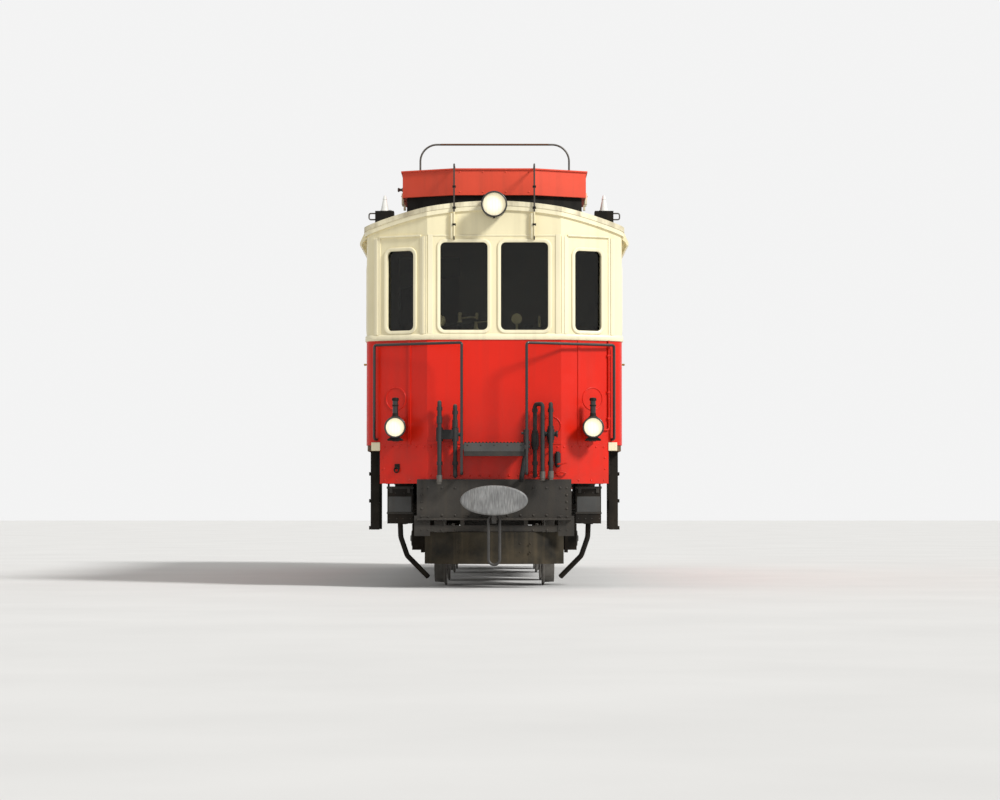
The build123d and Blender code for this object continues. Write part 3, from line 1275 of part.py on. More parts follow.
rise = PANTO_ARM * sin(radians(PANTO_REST))
reach = PANTO_ARM * cos(radians(PANTO_REST))
knee_z = PANTO_PIVOT_Z + rise
head_z = PANTO_PIVOT_Z + 2 * rise
KNEE_EYE = 20.0
EYE_WIDTH = 24.0
for name, side in (("front", -1), ("rear", 1)):
    pivot_y = PANTO_Y + side * PANTO_HALF
    knee_y = pivot_y + side * reach
    with BuildPart() as lower_arm:
        shaft_x = PANTO_BASE_X + 30
        add(round_bar((-shaft_x, pivot_y, PANTO_PIVOT_Z), (shaft_x, pivot_y, PANTO_PIVOT_Z), LOWER_SHAFT))
        for x in (-PANTO_LOWER_X, PANTO_LOWER_X):
            add(round_bar((x, pivot_y, PANTO_PIVOT_Z), (x, knee_y, knee_z), LOWER_TUBE))
            inner = x - 80 if x > 0 else x + 80
            add(round_bar((x, knee_y, knee_z), (inner, knee_y, knee_z), KNEE_PIN))
            add(round_bar((x - 15, knee_y, knee_z), (x + 15, knee_y, knee_z), KNEE_EYE + 4))
    save(lower_arm, f"panto_lower_{name}")

    with BuildPart() as upper_arm:
        for x in (-PANTO_UPPER_X, PANTO_UPPER_X):
            add(round_bar((x, pivot_y, head_z), (x, knee_y, knee_z), UPPER_TUBE))
            add(round_bar((x - EYE_WIDTH / 2, knee_y, knee_z), (x + EYE_WIDTH / 2, knee_y, knee_z), KNEE_EYE))
        add(round_bar((-PANTO_UPPER_X - 10, pivot_y, head_z), (PANTO_UPPER_X + 10, pivot_y, head_z), HEAD_SHAFT))
        for x in (-PANTO_UPPER_X, PANTO_UPPER_X):
            with BuildSketch(Plane.YZ.offset(x - EYE_WIDTH)):
                with Locations((knee_y, knee_z)):
                    Circle(KNEE_PIN + RUNNING)
            extrude(amount=2 * EYE_WIDTH, mode=Mode.SUBTRACT)
    save(upper_arm, f"panto_upper_{name}")

# Pantograph head: one bow over a cross bar, with eye plates whose rear eyes are wide round their shaft
HEAD_PLATE_X = 260.0
HEAD_PLATE = 14.0
BOW_BEND = 175.0
BOW_TUBE = 10.0
STAY_TUBE = 13.0
HEAD_CLAMP = 19.0
bow = tube(
    (
        (-PANTO_HEAD_HALF, PANTO_Y, head_z),
        (-PANTO_HEAD_HALF, PANTO_Y, PANTO_HEAD_TOP),
        (PANTO_HEAD_HALF, PANTO_Y, PANTO_HEAD_TOP),
        (PANTO_HEAD_HALF, PANTO_Y, head_z),
    ),
    BOW_BEND,
    BOW_TUBE,
)
with BuildPart() as panto_head:
    add(bow)
    add(round_bar((-PANTO_HEAD_HALF, PANTO_Y, head_z), (PANTO_HEAD_HALF, PANTO_Y, head_z), STAY_TUBE))
    for x in (-PANTO_HEAD_HALF, PANTO_HEAD_HALF):
        add(
            block(
                (x - HEAD_CLAMP, x + HEAD_CLAMP),
                (PANTO_Y - HEAD_CLAMP, PANTO_Y + HEAD_CLAMP),
                (head_z - HEAD_CLAMP, head_z + HEAD_CLAMP),
            )
        )
    for x in (-HEAD_PLATE_X, HEAD_PLATE_X):
        with BuildSketch(Plane.YZ.offset(x - HEAD_PLATE / 2)):
            with Locations((PANTO_Y, head_z)):
                SlotOverall(2 * PANTO_HALF + 100, 60)
            with Locations((PANTO_Y - PANTO_HALF, head_z)):
                Circle(HEAD_SHAFT + RUNNING, mode=Mode.SUBTRACT)
            with Locations((PANTO_Y + PANTO_HALF, head_z)):
                Circle(HEAD_SHAFT + OPEN_PIVOT, mode=Mode.SUBTRACT)
        extrude(amount=HEAD_PLATE)
save(panto_head, "panto_head")
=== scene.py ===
"""Looks of the narrow-gauge electric railcar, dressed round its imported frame, in metres."""

import json
import logging
from dataclasses import dataclass, field
from enum import Enum
from math import asin, atan, cos, hypot, pi, radians, sin, sqrt, tan
from typing import Iterable, Sequence

import bmesh
import bpy
from mathutils import Matrix, Vector


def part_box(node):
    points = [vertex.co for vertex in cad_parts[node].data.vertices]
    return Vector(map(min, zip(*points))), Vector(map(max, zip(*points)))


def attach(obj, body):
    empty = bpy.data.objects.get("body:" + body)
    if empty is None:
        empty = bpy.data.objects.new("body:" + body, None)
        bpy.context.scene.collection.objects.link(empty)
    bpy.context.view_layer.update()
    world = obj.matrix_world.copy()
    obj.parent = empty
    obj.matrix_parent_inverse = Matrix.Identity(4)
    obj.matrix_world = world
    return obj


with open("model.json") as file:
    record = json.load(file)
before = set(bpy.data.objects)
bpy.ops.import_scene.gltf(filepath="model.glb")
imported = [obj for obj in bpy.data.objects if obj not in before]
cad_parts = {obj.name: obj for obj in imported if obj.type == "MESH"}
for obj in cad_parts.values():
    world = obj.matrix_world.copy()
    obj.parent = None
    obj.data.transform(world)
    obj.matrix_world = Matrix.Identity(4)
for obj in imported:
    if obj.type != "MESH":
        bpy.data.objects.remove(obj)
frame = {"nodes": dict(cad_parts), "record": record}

LOG = logging.getLogger("railcar")
Colour = tuple[float, float, float, float]
Pair = tuple[float, float]
Outline = Sequence[Pair]
Spots = Sequence[tuple[Vector, Vector]]
Socket = bpy.types.NodeSocket
Piece = bpy.types.Object
Tree = bpy.types.GeometryNodeTree
Nodes = dict[str, bpy.types.Node]
UP = Vector((0.0, 0.0, 1.0))
ACROSS = Vector((1.0, 0.0, 0.0))
ALONG = Vector((0.0, 1.0, 0.0))
SIDES = (-1, 1)
CORNERS = tuple((end, side) for end in SIDES for side in SIDES)
ENDS = ((-1, "front"), (1, "rear"))
HANDS = ((-1, "left"), (1, "right"))
PREFIX = "finish_"


def xyz(x: float, y: float, z: float) -> Vector:
    """Give a point or a direction of the row frame."""
    return Vector((x, y, z))


def show(item: Piece) -> None:
    """Put an object into the scene."""
    bpy.context.scene.collection.objects.link(item)


def screen(red: int, green: int, blue: int) -> Colour:
    """Turn a screen colour into the linear one that a shader takes.

    Args:
        red, green, blue: Screen values from 0 to 255.

    Returns:
        Linear red, green, blue and full opacity.
    """
    shares = [value / 255 for value in (red, green, blue)]
    linear = [s / 12.92 if s <= 0.04045 else ((s + 0.055) / 1.055) ** 2.4 for s in shares]
    return (*linear, 1.0)


class Graph:
    """Node tree of one finish, with short calls for the nodes that the finishes share."""

    def __init__(self, name: str) -> None:
        """Start a material with a shader, an output and the object's own coordinates."""
        self.material = bpy.data.materials.new(f"{PREFIX}{name}")
        self.material.use_nodes = True
        self.tree = self.material.node_tree
        self.tree.nodes.clear()
        output = self.node("ShaderNodeOutputMaterial")
        self.shader = self.node("ShaderNodeBsdfPrincipled")
        self.tree.links.new(self.shader.outputs[0], output.inputs["Surface"])
        self.place = self.node("ShaderNodeTexCoord").outputs["Object"]

    def node(self, kind: str, **settings: object) -> bpy.types.Node:
        """Add a node and set its properties."""
        made = self.tree.nodes.new(kind)
        for key, value in settings.items():
            setattr(made, key, value)
        return made

    def feed(self, socket: Socket, value: object) -> None:
        """Link a socket to another one, or set its plain value."""
        if isinstance(value, Socket):
            self.tree.links.new(value, socket)
        else:
            socket.default_value = value

    def calc(self, how: str, first: object, second: object = 0.0) -> Socket:
        """Combine two numbers.

        Args:
            how: Name of the Math node's operation.
            first, second: Sockets or plain numbers.

        Returns:
            The result's socket.
        """
        made = self.node("ShaderNodeMath", operation=how)
        self.feed(made.inputs[0], first)
        self.feed(made.inputs[1], second)
        return made.outputs[0]

    def times(self, first: object, second: object) -> Socket:
        """Multiply two numbers."""
        return self.calc("MULTIPLY", first, second)

    def span(self, value: object, low: float, high: float, start: float = 0.0, end: float = 1.0) -> Socket:
        """Map a number from one range to another, and hold it inside.

        Args:
            value: The number's socket.
            low, high: Range that it comes from.
            start, end: Range that it goes to.

        Returns:
            The result's socket.
        """
        made = self.node("ShaderNodeMapRange")
        for index, item in enumerate((value, low, high, start, end)):
            self.feed(made.inputs[index], item)
        return made.outputs[0]

    def noise(self, scale: float, detail: float = 3.0, stretch: Sequence[float] = (1, 1, 1)) -> Socket:
        """Give a cloudy number from 0 to 1.

        Args:
            scale: Patches to a metre.
            detail: Finer layers in the noise.
            stretch: Share of the scale along each axis.

        Returns:
            The number's socket.
        """
        mapping = self.node("ShaderNodeMapping")
        self.feed(mapping.inputs["Vector"], self.place)
        mapping.inputs["Scale"].default_value = [scale * share for share in stretch]
        made = self.node("ShaderNodeTexNoise")
        self.feed(made.inputs["Vector"], mapping.outputs[0])
        made.inputs["Scale"].default_value = 1.0
        made.inputs["Detail"].default_value = detail
        return made.outputs[0]

    def blend(self, share: object, first: object, second: object, how: str = "MIX") -> Socket:
        """Mix two colours.

        Args:
            share: Share of the second colour.
            first, second: Sockets or plain colours.
            how: Name of the blend mode.

        Returns:
            The mixed colour's socket.
        """
        made = self.node("ShaderNodeMix", data_type="RGBA", blend_type=how)
        self.feed(made.inputs[0], share)
        self.feed(made.inputs[6], first)
        self.feed(made.inputs[7], second)
        return made.outputs[2]

    def axes(self, vector: Socket | None = None) -> list[Socket]:
        """Give the parts of a vector along the three axes, or those of the place."""
        made = self.node("ShaderNodeSeparateXYZ")
        self.feed(made.inputs[0], self.place if vector is None else vector)
        return list(made.outputs)

    def normal(self) -> Socket:
        """Give the surface's direction."""
        return self.node("ShaderNodeNewGeometry").outputs["Normal"]

    def bump(self, reach: float, height: Socket) -> bpy.types.Node:
        """Add relief of a reach from a height's socket."""
        made = self.node("ShaderNodeBump")
        made.inputs["Distance"].default_value = reach
        self.feed(made.inputs["Height"], height)
        return made

    def surface(self, values: dict[str, object]) -> bpy.types.Material:
        """Feed the shader's sockets by their names, and give the material."""
        for name, value in values.items():
            self.feed(self.shader.inputs[name], value)
        return self.material

    def rounded_normal(self, radius: float) -> Socket:
        """Give the surface's direction with its edges rounded by a radius."""
        made = self.node("ShaderNodeBevel", samples=4)
        made.inputs["Radius"].default_value = radius
        return made.outputs[0]

    def edge_share(self, rounded: Socket) -> Socket:
        """Give 1 on edges and 0 on flat ground, from the rounded direction."""
        dot = self.node("ShaderNodeVectorMath", operation="DOT_PRODUCT")
        self.feed(dot.inputs[0], rounded)
        self.feed(dot.inputs[1], self.normal())
        return self.span(dot.outputs["Value"], 0.99, 0.8)

    def upward(self) -> Socket:
        """Give 1 on what faces up and 0 on what stands or hangs."""
        return self.span(self.axes(self.normal())[2], 0.55, 0.95)


@dataclass(frozen=True)
class Finish:
    """Painted or bare surface with its own drift of colour, grime, dust, wear and relief."""

    name: str
    colour: Colour
    roughness: float = 0.45
    metallic: float = 0.0
    coat: float = 0.0
    gloss: float = 0.5
    drift: float = 0.1
    drift_scale: float = 1.7
    grime: Colour = screen(66, 56, 44)
    grime_share: float = 0.25
    splash: float = 0.0
    splash_top: float = 1.9
    dust: float = 0.2
    dust_colour: Colour = screen(132, 120, 102)
    wear: float = 0.4
    bare: Colour = screen(118, 110, 102)
    edge: float = 0.003
    relief: float = 0.0005
    relief_scale: float = 45.0
    sag: float = 0.0
    slot: str = "black_paint"

    def tint(self, graph: Graph) -> object:
        """Give the clean colour. A finish with a pattern gives its own."""
        return self.colour

    def shine(self, graph: Graph) -> object:
        """Give the clean roughness, uneven from patch to patch."""
        return graph.span(graph.noise(9.0), 0.3, 0.7, self.roughness * 0.82, self.roughness * 1.2)

    def weather(self, graph: Graph, colour: object) -> object:
        """Lay drift, streaks and splashes over the clean colour.

        Args:
            graph: The finish's node tree.
            colour: Clean colour, as a socket or plain.

        Returns:
            The weathered colour's socket.
        """
        drift = graph.node("ShaderNodeHueSaturation")
        graph.feed(drift.inputs["Color"], colour)
        cloud = graph.noise(self.drift_scale, 5.0)
        graph.feed(drift.inputs["Value"], graph.span(cloud, 0.3, 0.7, 1 - self.drift, 1 + self.drift * 0.6))
        colour = drift.outputs[0]
        streak = graph.span(graph.noise(14.0, 4.0, (1, 1, 0.05)), 0.5, 0.78, 0.0, self.grime_share)
        colour = graph.blend(streak, colour, self.grime)
        if self.splash:
            low = graph.span(graph.axes()[2], self.splash_top, self.splash_top - 0.9, 0.0, self.splash)
            patch = graph.span(graph.noise(5.0, 6.0), 0.32, 0.66)
            colour = graph.blend(graph.times(low, patch), colour, self.grime)
        return colour

    def build(self) -> bpy.types.Material:
        """Make the material."""
        graph = Graph(self.name)
        colour, rough = self.weather(graph, self.tint(graph)), self.shine(graph)
        if self.dust:
            share = graph.times(graph.upward(), graph.span(graph.noise(4.0, 5.0), 0.25, 0.7, 0.3, 1.0))
            share = graph.times(share, self.dust)
            colour = graph.blend(share, colour, self.dust_colour)
            rough = graph.calc("ADD", rough, graph.times(share, 0.4))
        rounded = graph.rounded_normal(self.edge)
        if self.wear:
            chips = graph.span(graph.noise(38.0, 6.0), 0.46, 0.62)
            worn = graph.times(graph.edge_share(rounded), chips)
            colour = graph.blend(graph.times(worn, self.wear), colour, self.bare)
        grain = graph.noise(self.relief_scale, 6.0)
        height = grain
        if self.sag:
            height = graph.calc("ADD", grain, graph.times(graph.noise(1.1, 2.0), self.sag))
        bump = graph.bump(self.relief, height)
        graph.feed(bump.inputs["Normal"], rounded)
        return graph.surface(
            {"Base Color": colour, "Roughness": rough, "Normal": bump.outputs[0], "Metallic": self.metallic,
             "Specular IOR Level": self.gloss, "Coat Weight": self.coat, "Coat Roughness": 0.12})


@dataclass(frozen=True)
class Livery(Finish):
    """Body paint: one colour below the belt, another above it, and inside the body a dark brown that is
    partly paint and partly painted shade.
    """

    upper: Colour = screen(243, 232, 192)
    # inside: brown of the inner walls, darkened so that it also paints the shade inside the body.
    inside: Colour = screen(74, 60, 44)
    belt: float = 2.352
    deep: float = 0.035

    def tint(self, graph: Graph) -> object:
        """Give the colour by height, and by how deep the place lies inside the body's plan."""
        x, y, z = graph.axes()
        across, along = graph.calc("ABSOLUTE", x), graph.calc("ABSOLUTE", y)
        slope = graph.times(across, sin(BODY.slope))
        slope = graph.calc("ADD", slope, graph.times(along, cos(BODY.slope)))
        reach = BODY.facet * sin(BODY.slope) + BODY.half_length * cos(BODY.slope)
        within = graph.calc("LESS_THAN", across, BODY.half_width - self.deep)
        within = graph.times(within, graph.calc("LESS_THAN", along, BODY.half_length - self.deep))
        within = graph.times(within, graph.calc("LESS_THAN", slope, reach - self.deep))
        outside = graph.blend(graph.calc("GREATER_THAN", z, self.belt), self.colour, self.upper)
        # Inside the body: the inner brown, which is partly its paint and partly painted shade.
        return graph.blend(within, outside, self.inside)


@dataclass(frozen=True)
class Boards(Finish):
    """Timber boards laid side by side along the car."""

    width: float = 0.12
    gap: float = 0.045

    def tint(self, graph: Graph) -> object:
        """Give each board its own tone, with grain along it and a dark joint beside it."""
        x = graph.calc("DIVIDE", graph.axes()[0], self.width)
        board = graph.node("ShaderNodeTexWhiteNoise", noise_dimensions="1D")
        graph.feed(board.inputs["W"], graph.calc("FLOOR", x))
        tone = graph.node("ShaderNodeHueSaturation")
        graph.feed(tone.inputs["Color"], self.colour)
        graph.feed(tone.inputs["Value"], graph.span(board.outputs[0], 0.0, 1.0, 0.7, 1.2))
        grain = graph.span(graph.noise(90.0, 5.0, (1, 0.03, 1)), 0.35, 0.7, 0.0, 0.45)
        colour = graph.blend(grain, tone.outputs[0], self.grime)
        joint = graph.calc("LESS_THAN", graph.calc("FRACT", x), self.gap)
        return graph.blend(joint, colour, screen(18, 14, 10))


@dataclass(frozen=True)
class Turned(Finish):
    """Steel wheel whose tread is rubbed bright by the rail, at a distance from its axle."""

    axle_y: float = 0.0
    axle_z: float = 0.458
    tread: float = 0.418
    bright: Colour = screen(132, 128, 122)

    def tint(self, graph: Graph) -> object:
        """Give the bright tread and the rusty, oily web."""
        _, y, z = graph.axes()
        dy, dz = graph.calc("SUBTRACT", y, self.axle_y), graph.calc("SUBTRACT", z, self.axle_z)
        radius = graph.calc("SQRT", graph.calc("ADD", graph.times(dy, dy), graph.times(dz, dz)))
        rim = graph.span(radius, self.tread, self.tread + 0.006)
        rust = graph.blend(graph.span(graph.noise(11.0, 6.0), 0.4, 0.65), self.colour, screen(92, 58, 38))
        return graph.blend(rim, rust, self.bright)


@dataclass(frozen=True)
class RoofSheet(Finish):
    """Roof covering, with cream paint where its rim looks sideways."""

    edge_paint: Colour = screen(244, 234, 200)
    rim_x: float = 1.17
    rim_y: float = 4.55

    def tint(self, graph: Graph) -> object:
        """Give the covering's grey, and the stained cream below its edge."""
        x, y, _ = graph.axes()
        beside = graph.calc("GREATER_THAN", graph.calc("ABSOLUTE", x), self.rim_x)
        before = graph.calc("GREATER_THAN", graph.calc("ABSOLUTE", y), self.rim_y)
        sideways = graph.calc("LESS_THAN", graph.axes(graph.normal())[2], 0.75)
        sideways = graph.times(sideways, graph.calc("MAXIMUM", beside, before))
        stain = graph.span(graph.noise(9.0, 6.0, (1, 1, 0.6)), 0.42, 0.72, 0.0, 0.55)
        return graph.blend(sideways, self.colour, graph.blend(stain, self.edge_paint, screen(150, 132, 102)))


@dataclass(frozen=True)
class TwoTone(Finish):
    """Rod painted in a second colour below a height."""

    lower: Colour = screen(236, 224, 184)
    change: float = 3.56

    def tint(self, graph: Graph) -> object:
        """Give the colour by height."""
        return graph.blend(graph.calc("GREATER_THAN", graph.axes()[2], self.change), self.lower, self.colour)


@dataclass(frozen=True)
class Cast(Finish):
    """Buffer head scratched bright by its neighbours on the face that meets them."""

    scratch: Colour = screen(158, 158, 156)
    face_y: float = 5.36

    def tint(self, graph: Graph) -> object:
        """Give the dark casting, and its scratched face."""
        along = graph.calc("ABSOLUTE", graph.axes()[1])
        fine = graph.span(graph.noise(90.0, 5.0, (1, 1, 0.12)), 0.36, 0.66, 0.35, 0.95)
        patch = graph.span(graph.noise(5.0, 3.0), 0.3, 0.62, 0.45, 1.0)
        share = graph.times(fine, patch)
        share = graph.times(share, graph.calc("GREATER_THAN", along, self.face_y))
        return graph.blend(share, self.colour, self.scratch)


@dataclass(frozen=True)
class Glass:
    """Dark, slightly dusty window pane."""

    name: str
    colour: Colour
    roughness: float = 0.0
    haze: float = 0.03
    bend: float = 1.3
    slot: str = "window_glass"

    def build(self) -> bpy.types.Material:
        """Make the material."""
        graph = Graph(self.name)
        smear = graph.span(graph.noise(3.0, 5.0, (1, 1, 0.35)), 0.45, 0.8, self.roughness, self.haze)
        tint = graph.blend(
            graph.span(graph.noise(1.4), 0.3, 0.7, 0.0, 0.3), self.colour, screen(150, 148, 136))
        return graph.surface(
            {"Base Color": tint, "Roughness": smear, "Transmission Weight": 1.0, "IOR": self.bend})


@dataclass(frozen=True)
class LampLens:
    """Fluted lamp glass, lit at the leading end and brightest at its middle, unlit at the other end."""

    name: str
    colour: Colour
    strength: float = 1.25
    lantern: Pair = (0.935, 1.518)
    headlight: Pair = (0.0, 3.618)
    change: float = 2.5
    flute: float = 0.014

    def distance(self, graph: Graph, x: object, z: object) -> object:
        """Give the distance from the middle of the lamp that the place belongs to."""
        high = graph.calc("GREATER_THAN", z, self.change)
        places = [graph.span(high, 0.0, 1.0, low, top) for low, top in zip(self.lantern, self.headlight)]
        across = graph.calc("SUBTRACT", graph.calc("ABSOLUTE", x), places[0])
        upright = graph.calc("SUBTRACT", z, places[1])
        return graph.calc(
            "SQRT", graph.calc("ADD", graph.times(across, across), graph.times(upright, upright)))

    def build(self) -> bpy.types.Material:
        """Make the material."""
        graph = Graph(self.name)
        x, y, z = graph.axes()
        flutes = graph.calc("SINE", graph.times(x, 2 * pi / self.flute))
        glow = graph.span(self.distance(graph, x, z), 0.105, 0.045, 0.45, 1.0)
        glow = graph.times(glow, graph.span(flutes, -1.0, 1.0, 0.82, 1.0))
        glow = graph.times(glow, graph.calc("LESS_THAN", y, 0.0))
        pale = graph.blend(
            graph.span(graph.noise(30.0), 0.3, 0.7, 0.0, 0.4), self.colour, screen(150, 146, 130))
        rough = graph.span(graph.noise(12.0), 0.3, 0.7, 0.06, 0.18)
        return graph.surface(
            {"Base Color": pale, "Roughness": rough, "Normal": graph.bump(0.0012, flutes).outputs[0],
             "Coat Weight": 0.8, "Emission Color": screen(255, 240, 196),
             "Emission Strength": graph.times(glow, self.strength)})


@dataclass(frozen=True)
class Body:
    """Main sizes of the body, taken from the frame where a node gives them."""

    half_length: float = -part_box("front_end_wall")[0].y
    half_width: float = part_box("front_end_wall")[1].x
    facet: float = 0.635
    slope: float = radians(27.0)
    corner: float = 0.14
    floor_top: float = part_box("floor")[1].z
    roof_top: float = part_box("roof")[1].z
    roof_radius: float = 3.64
    belt_low: float = 2.35
    belt_high: float = 2.408

    @property
    def roof_centre(self) -> float:
        """Height of the centre of the roof's round."""
        return self.roof_top - self.roof_radius

    @property
    def corner_y(self) -> float:
        """Distance of the plan's sharp corner from the middle of the car."""
        return self.half_length - (self.half_width - self.facet) * tan(self.slope)

    def roof_z(self, x: float) -> float:
        """Give the height of the roof's round."""
        return self.roof_centre + sqrt(self.roof_radius ** 2 - x * x)


BODY = Body()


class Shade(Enum):
    """Finishes of the railcar."""

    LIVERY = Livery("livery", screen(216, 30, 6), 0.36, coat=0.08, gloss=0.28, drift=0.07, grime_share=0.1,
                    splash=0.25, wear=0.25, relief=0.0004, sag=6.0)
    RED = Finish("signal_red", screen(216, 30, 6), 0.38, coat=0.08, gloss=0.28, drift=0.08, grime_share=0.12,
                 splash=0.4, splash_top=1.6, wear=0.35, sag=4.0, slot="red_paint")
    FADED = Finish("faded_red", screen(222, 76, 50), 0.5, gloss=0.35, grime_share=0.16, dust=0.15,
                   wear=0.5, sag=4.0, slot="red_paint")
    CREAM = Finish("cream", screen(244, 234, 198), 0.38, coat=0.15, drift=0.05, grime_share=0.16, wear=0.25,
                   bare=screen(150, 132, 100), slot="cream_paint")
    BLACK = Finish(
        "black_gear", screen(27, 25, 22), 0.65, gloss=0.15, splash=0.35, splash_top=1.3,
        drift=0.22, drift_scale=4.0, dust=0.4, wear=0.5, bare=screen(92, 86, 78), relief=0.0009)
    HEADSTOCK = Finish(
        "headstock_black", screen(48, 45, 41), 0.55, gloss=0.35, grime=screen(70, 62, 50), grime_share=0.4,
        drift=0.3, drift_scale=5.0, splash=0.4, splash_top=1.1, dust=0.5, wear=0.9, relief=0.001, sag=2.0)
    PLOUGH = Finish(
        "plough_black", screen(36, 34, 29), 0.68, gloss=0.15, grime=screen(92, 80, 60), grime_share=0.4,
        splash=0.5, splash_top=0.95, drift=0.3, drift_scale=5.0, dust=0.6, wear=0.8, relief=0.0014, sag=3.0)
    CASTING = Cast("buffer_casting", screen(76, 76, 76), 0.5, metallic=0.2, drift=0.16, drift_scale=4.0,
                   grime_share=0.2, wear=0.9, bare=screen(170, 168, 164), relief=0.001)
    FORGED = Finish("forged_iron", screen(66, 64, 62), 0.45, metallic=0.4, drift=0.25, drift_scale=8.0,
                    grime_share=0.5, wear=0.8, bare=screen(128, 124, 118), relief=0.0012, sag=2.0)
    # Handles and gauge cases: a pale colour, lightened past their metal's own tone to paint the light that
    # the glass keeps out of the cab.
    HANDLE = Finish("pale_handles_painted_light", screen(228, 214, 184), 0.32, metallic=0.25, drift=0.15,
                    grime_share=0.2, slot="cab_black")
    RAIL = Finish("rail_black", screen(30, 29, 28), 0.32, coat=0.2, drift=0.15, grime_share=0.1, wear=0.9,
                  dust=0.35, relief=0.0003)
    ROD = TwoTone("roof_rod", screen(52, 46, 40), 0.4, drift=0.2, grime_share=0.3, wear=0.6, relief=0.0003)
    ROOF = RoofSheet("roof_canvas", screen(112, 108, 100), 0.75, drift=0.16, grime_share=0.35, dust=0.5,
                     wear=0.3, relief=0.0012, relief_scale=220.0, sag=3.0, slot="roof_paint")
    BENCH = Finish("bench_slats", screen(146, 100, 58), 0.35, coat=0.3, drift=0.2, drift_scale=12.0,
                   grime_share=0.35, slot="cab_paint")
    # Inside wood, partitions and ceiling: a brown that is partly their own tone and partly painted shade of
    # the interior.
    INTERIOR = Finish("dark_wood_and_painted_shade", screen(70, 50, 32), 0.4, coat=0.2, drift=0.25, drift_scale=9.0,
                      grime_share=0.4, wear=0.3)
    CONTROL = Finish("cab_black", screen(42, 44, 46), 0.4, drift=0.15, wear=0.7, slot="cab_black")
    FLOOR = Boards("floor_boards", screen(112, 84, 56), 0.7, wear=0.3, dust=0.5)
    GREY = Finish("worn_grey", screen(66, 66, 64), 0.55, drift=0.25, drift_scale=4.0, grime_share=0.45,
                  splash=0.5, splash_top=0.8, wear=0.9, relief=0.0012, sag=3.0, slot="grey_paint")
    MOTOR = Finish("motor_grey", screen(70, 68, 64), 0.6, drift=0.25, grime_share=0.5, splash=0.6,
                   splash_top=1.0, relief=0.0025, relief_scale=60.0)
    STEEL = Finish(
        "worn_steel", screen(150, 148, 146), 0.42, metallic=0.85, drift=0.3, drift_scale=6.0,
        grime=screen(46, 38, 30), grime_share=0.55, wear=0.6, bare=screen(200, 198, 194), relief=0.0012,
        sag=2.0, slot="panto_paint")
    PANTO = Finish("pantograph_grey", screen(96, 92, 86), 0.5, metallic=0.4, drift=0.2, drift_scale=6.0,
                   grime_share=0.4, wear=0.8, slot="panto_paint")
    COPPER = Finish("contact_strip", screen(120, 84, 60), 0.35, metallic=0.9, slot="panto_paint")
    BRASS = Finish("brass", screen(176, 140, 74), 0.3, metallic=1.0, drift=0.2, grime_share=0.3, wear=0.5,
                   bare=screen(220, 190, 120), slot="rail_black")
    PORCELAIN = Finish("porcelain", screen(238, 237, 230), 0.14, coat=0.6, drift=0.05, grime_share=0.3,
                       wear=0.0, dust=0.4, relief=0.0002, slot="porcelain")
    RUBBER = Finish(
        "hose_rubber", screen(34, 34, 34), 0.68, drift=0.2, drift_scale=8.0, grime_share=0.2, dust=0.5,
        wear=0.3, bare=screen(70, 68, 64), relief=0.0012, relief_scale=120.0, slot="hose_rubber")
    GLASS = Glass("window_glass", screen(168, 170, 158))
    LENS = LampLens("lamp_glass", screen(178, 174, 160))

    @property
    def material(self) -> bpy.types.Material:
        """The finish's material, made at its first use."""
        return bpy.data.materials.get(f"{PREFIX}{self.value.name}") or self.value.build()


@dataclass(frozen=True)
class Face:
    """Upright face of the car: where it starts, which way it runs and which way it looks."""

    origin: Vector
    along: Vector
    out: Vector

    def at(self, run: float, height: float, proud: float = 0.0) -> Vector:
        """Give the point at a run along the face, a height and a distance in front of it."""
        return self.origin + self.along * run + self.out * proud + UP * height


def end_face(end: int, side: int) -> Face:
    """Give one of the three faces of an end.

    Args:
        end: -1 for the front, 1 for the rear.
        side: -1 for the left facet, 0 for the middle one, 1 for the right one.

    Returns:
        The face, which starts at the middle, or at the facet's inner corner.
    """
    if side == 0:
        return Face(xyz(0, end * BODY.half_length, 0), ACROSS, ALONG * end)
    turn, lean = cos(BODY.slope), sin(BODY.slope)
    origin = xyz(side * BODY.facet, end * BODY.half_length, 0)
    return Face(origin, xyz(side * turn, -end * lean, 0), xyz(side * lean, end * turn, 0))


def side_face(side: int, proud: float = 0.0) -> Face:
    """Give a side of the car, which starts at the middle and runs to the rear."""
    return Face(xyz(side * (BODY.half_width + proud), 0, 0), ALONG, ACROSS * side)


def rounded(points: Sequence[Vector], radii: Sequence[float], steps: int = 6) -> list[Vector]:
    """Round the corners of an open run of points.

    Args:
        points: The run's points.
        radii: Radius at each inner point.
        steps: Parts of each bend.

    Returns:
        The run with arcs in place of its inner points.
    """
    run = [points[0]]
    for before, corner, after, radius in zip(points, points[1:], points[2:], radii):
        first, second = (before - corner), (after - corner)
        turn = pi - first.angle(second)
        reach = radius * tan(turn / 2)
        if reach < 1e-6:
            run.append(corner)
            continue
        start, middle = corner + first.normalized() * reach, (first.normalized() + second.normalized())
        centre = corner + middle.normalized() * (radius / cos(turn / 2))
        arm, axis = start - centre, (start - centre).cross(corner + second.normalized() * reach - centre)
        for step in range(steps + 1):
            run.append(centre + Matrix.Rotation(turn * step / steps, 3, axis.normalized()) @ arm)
    return run + [points[-1]]


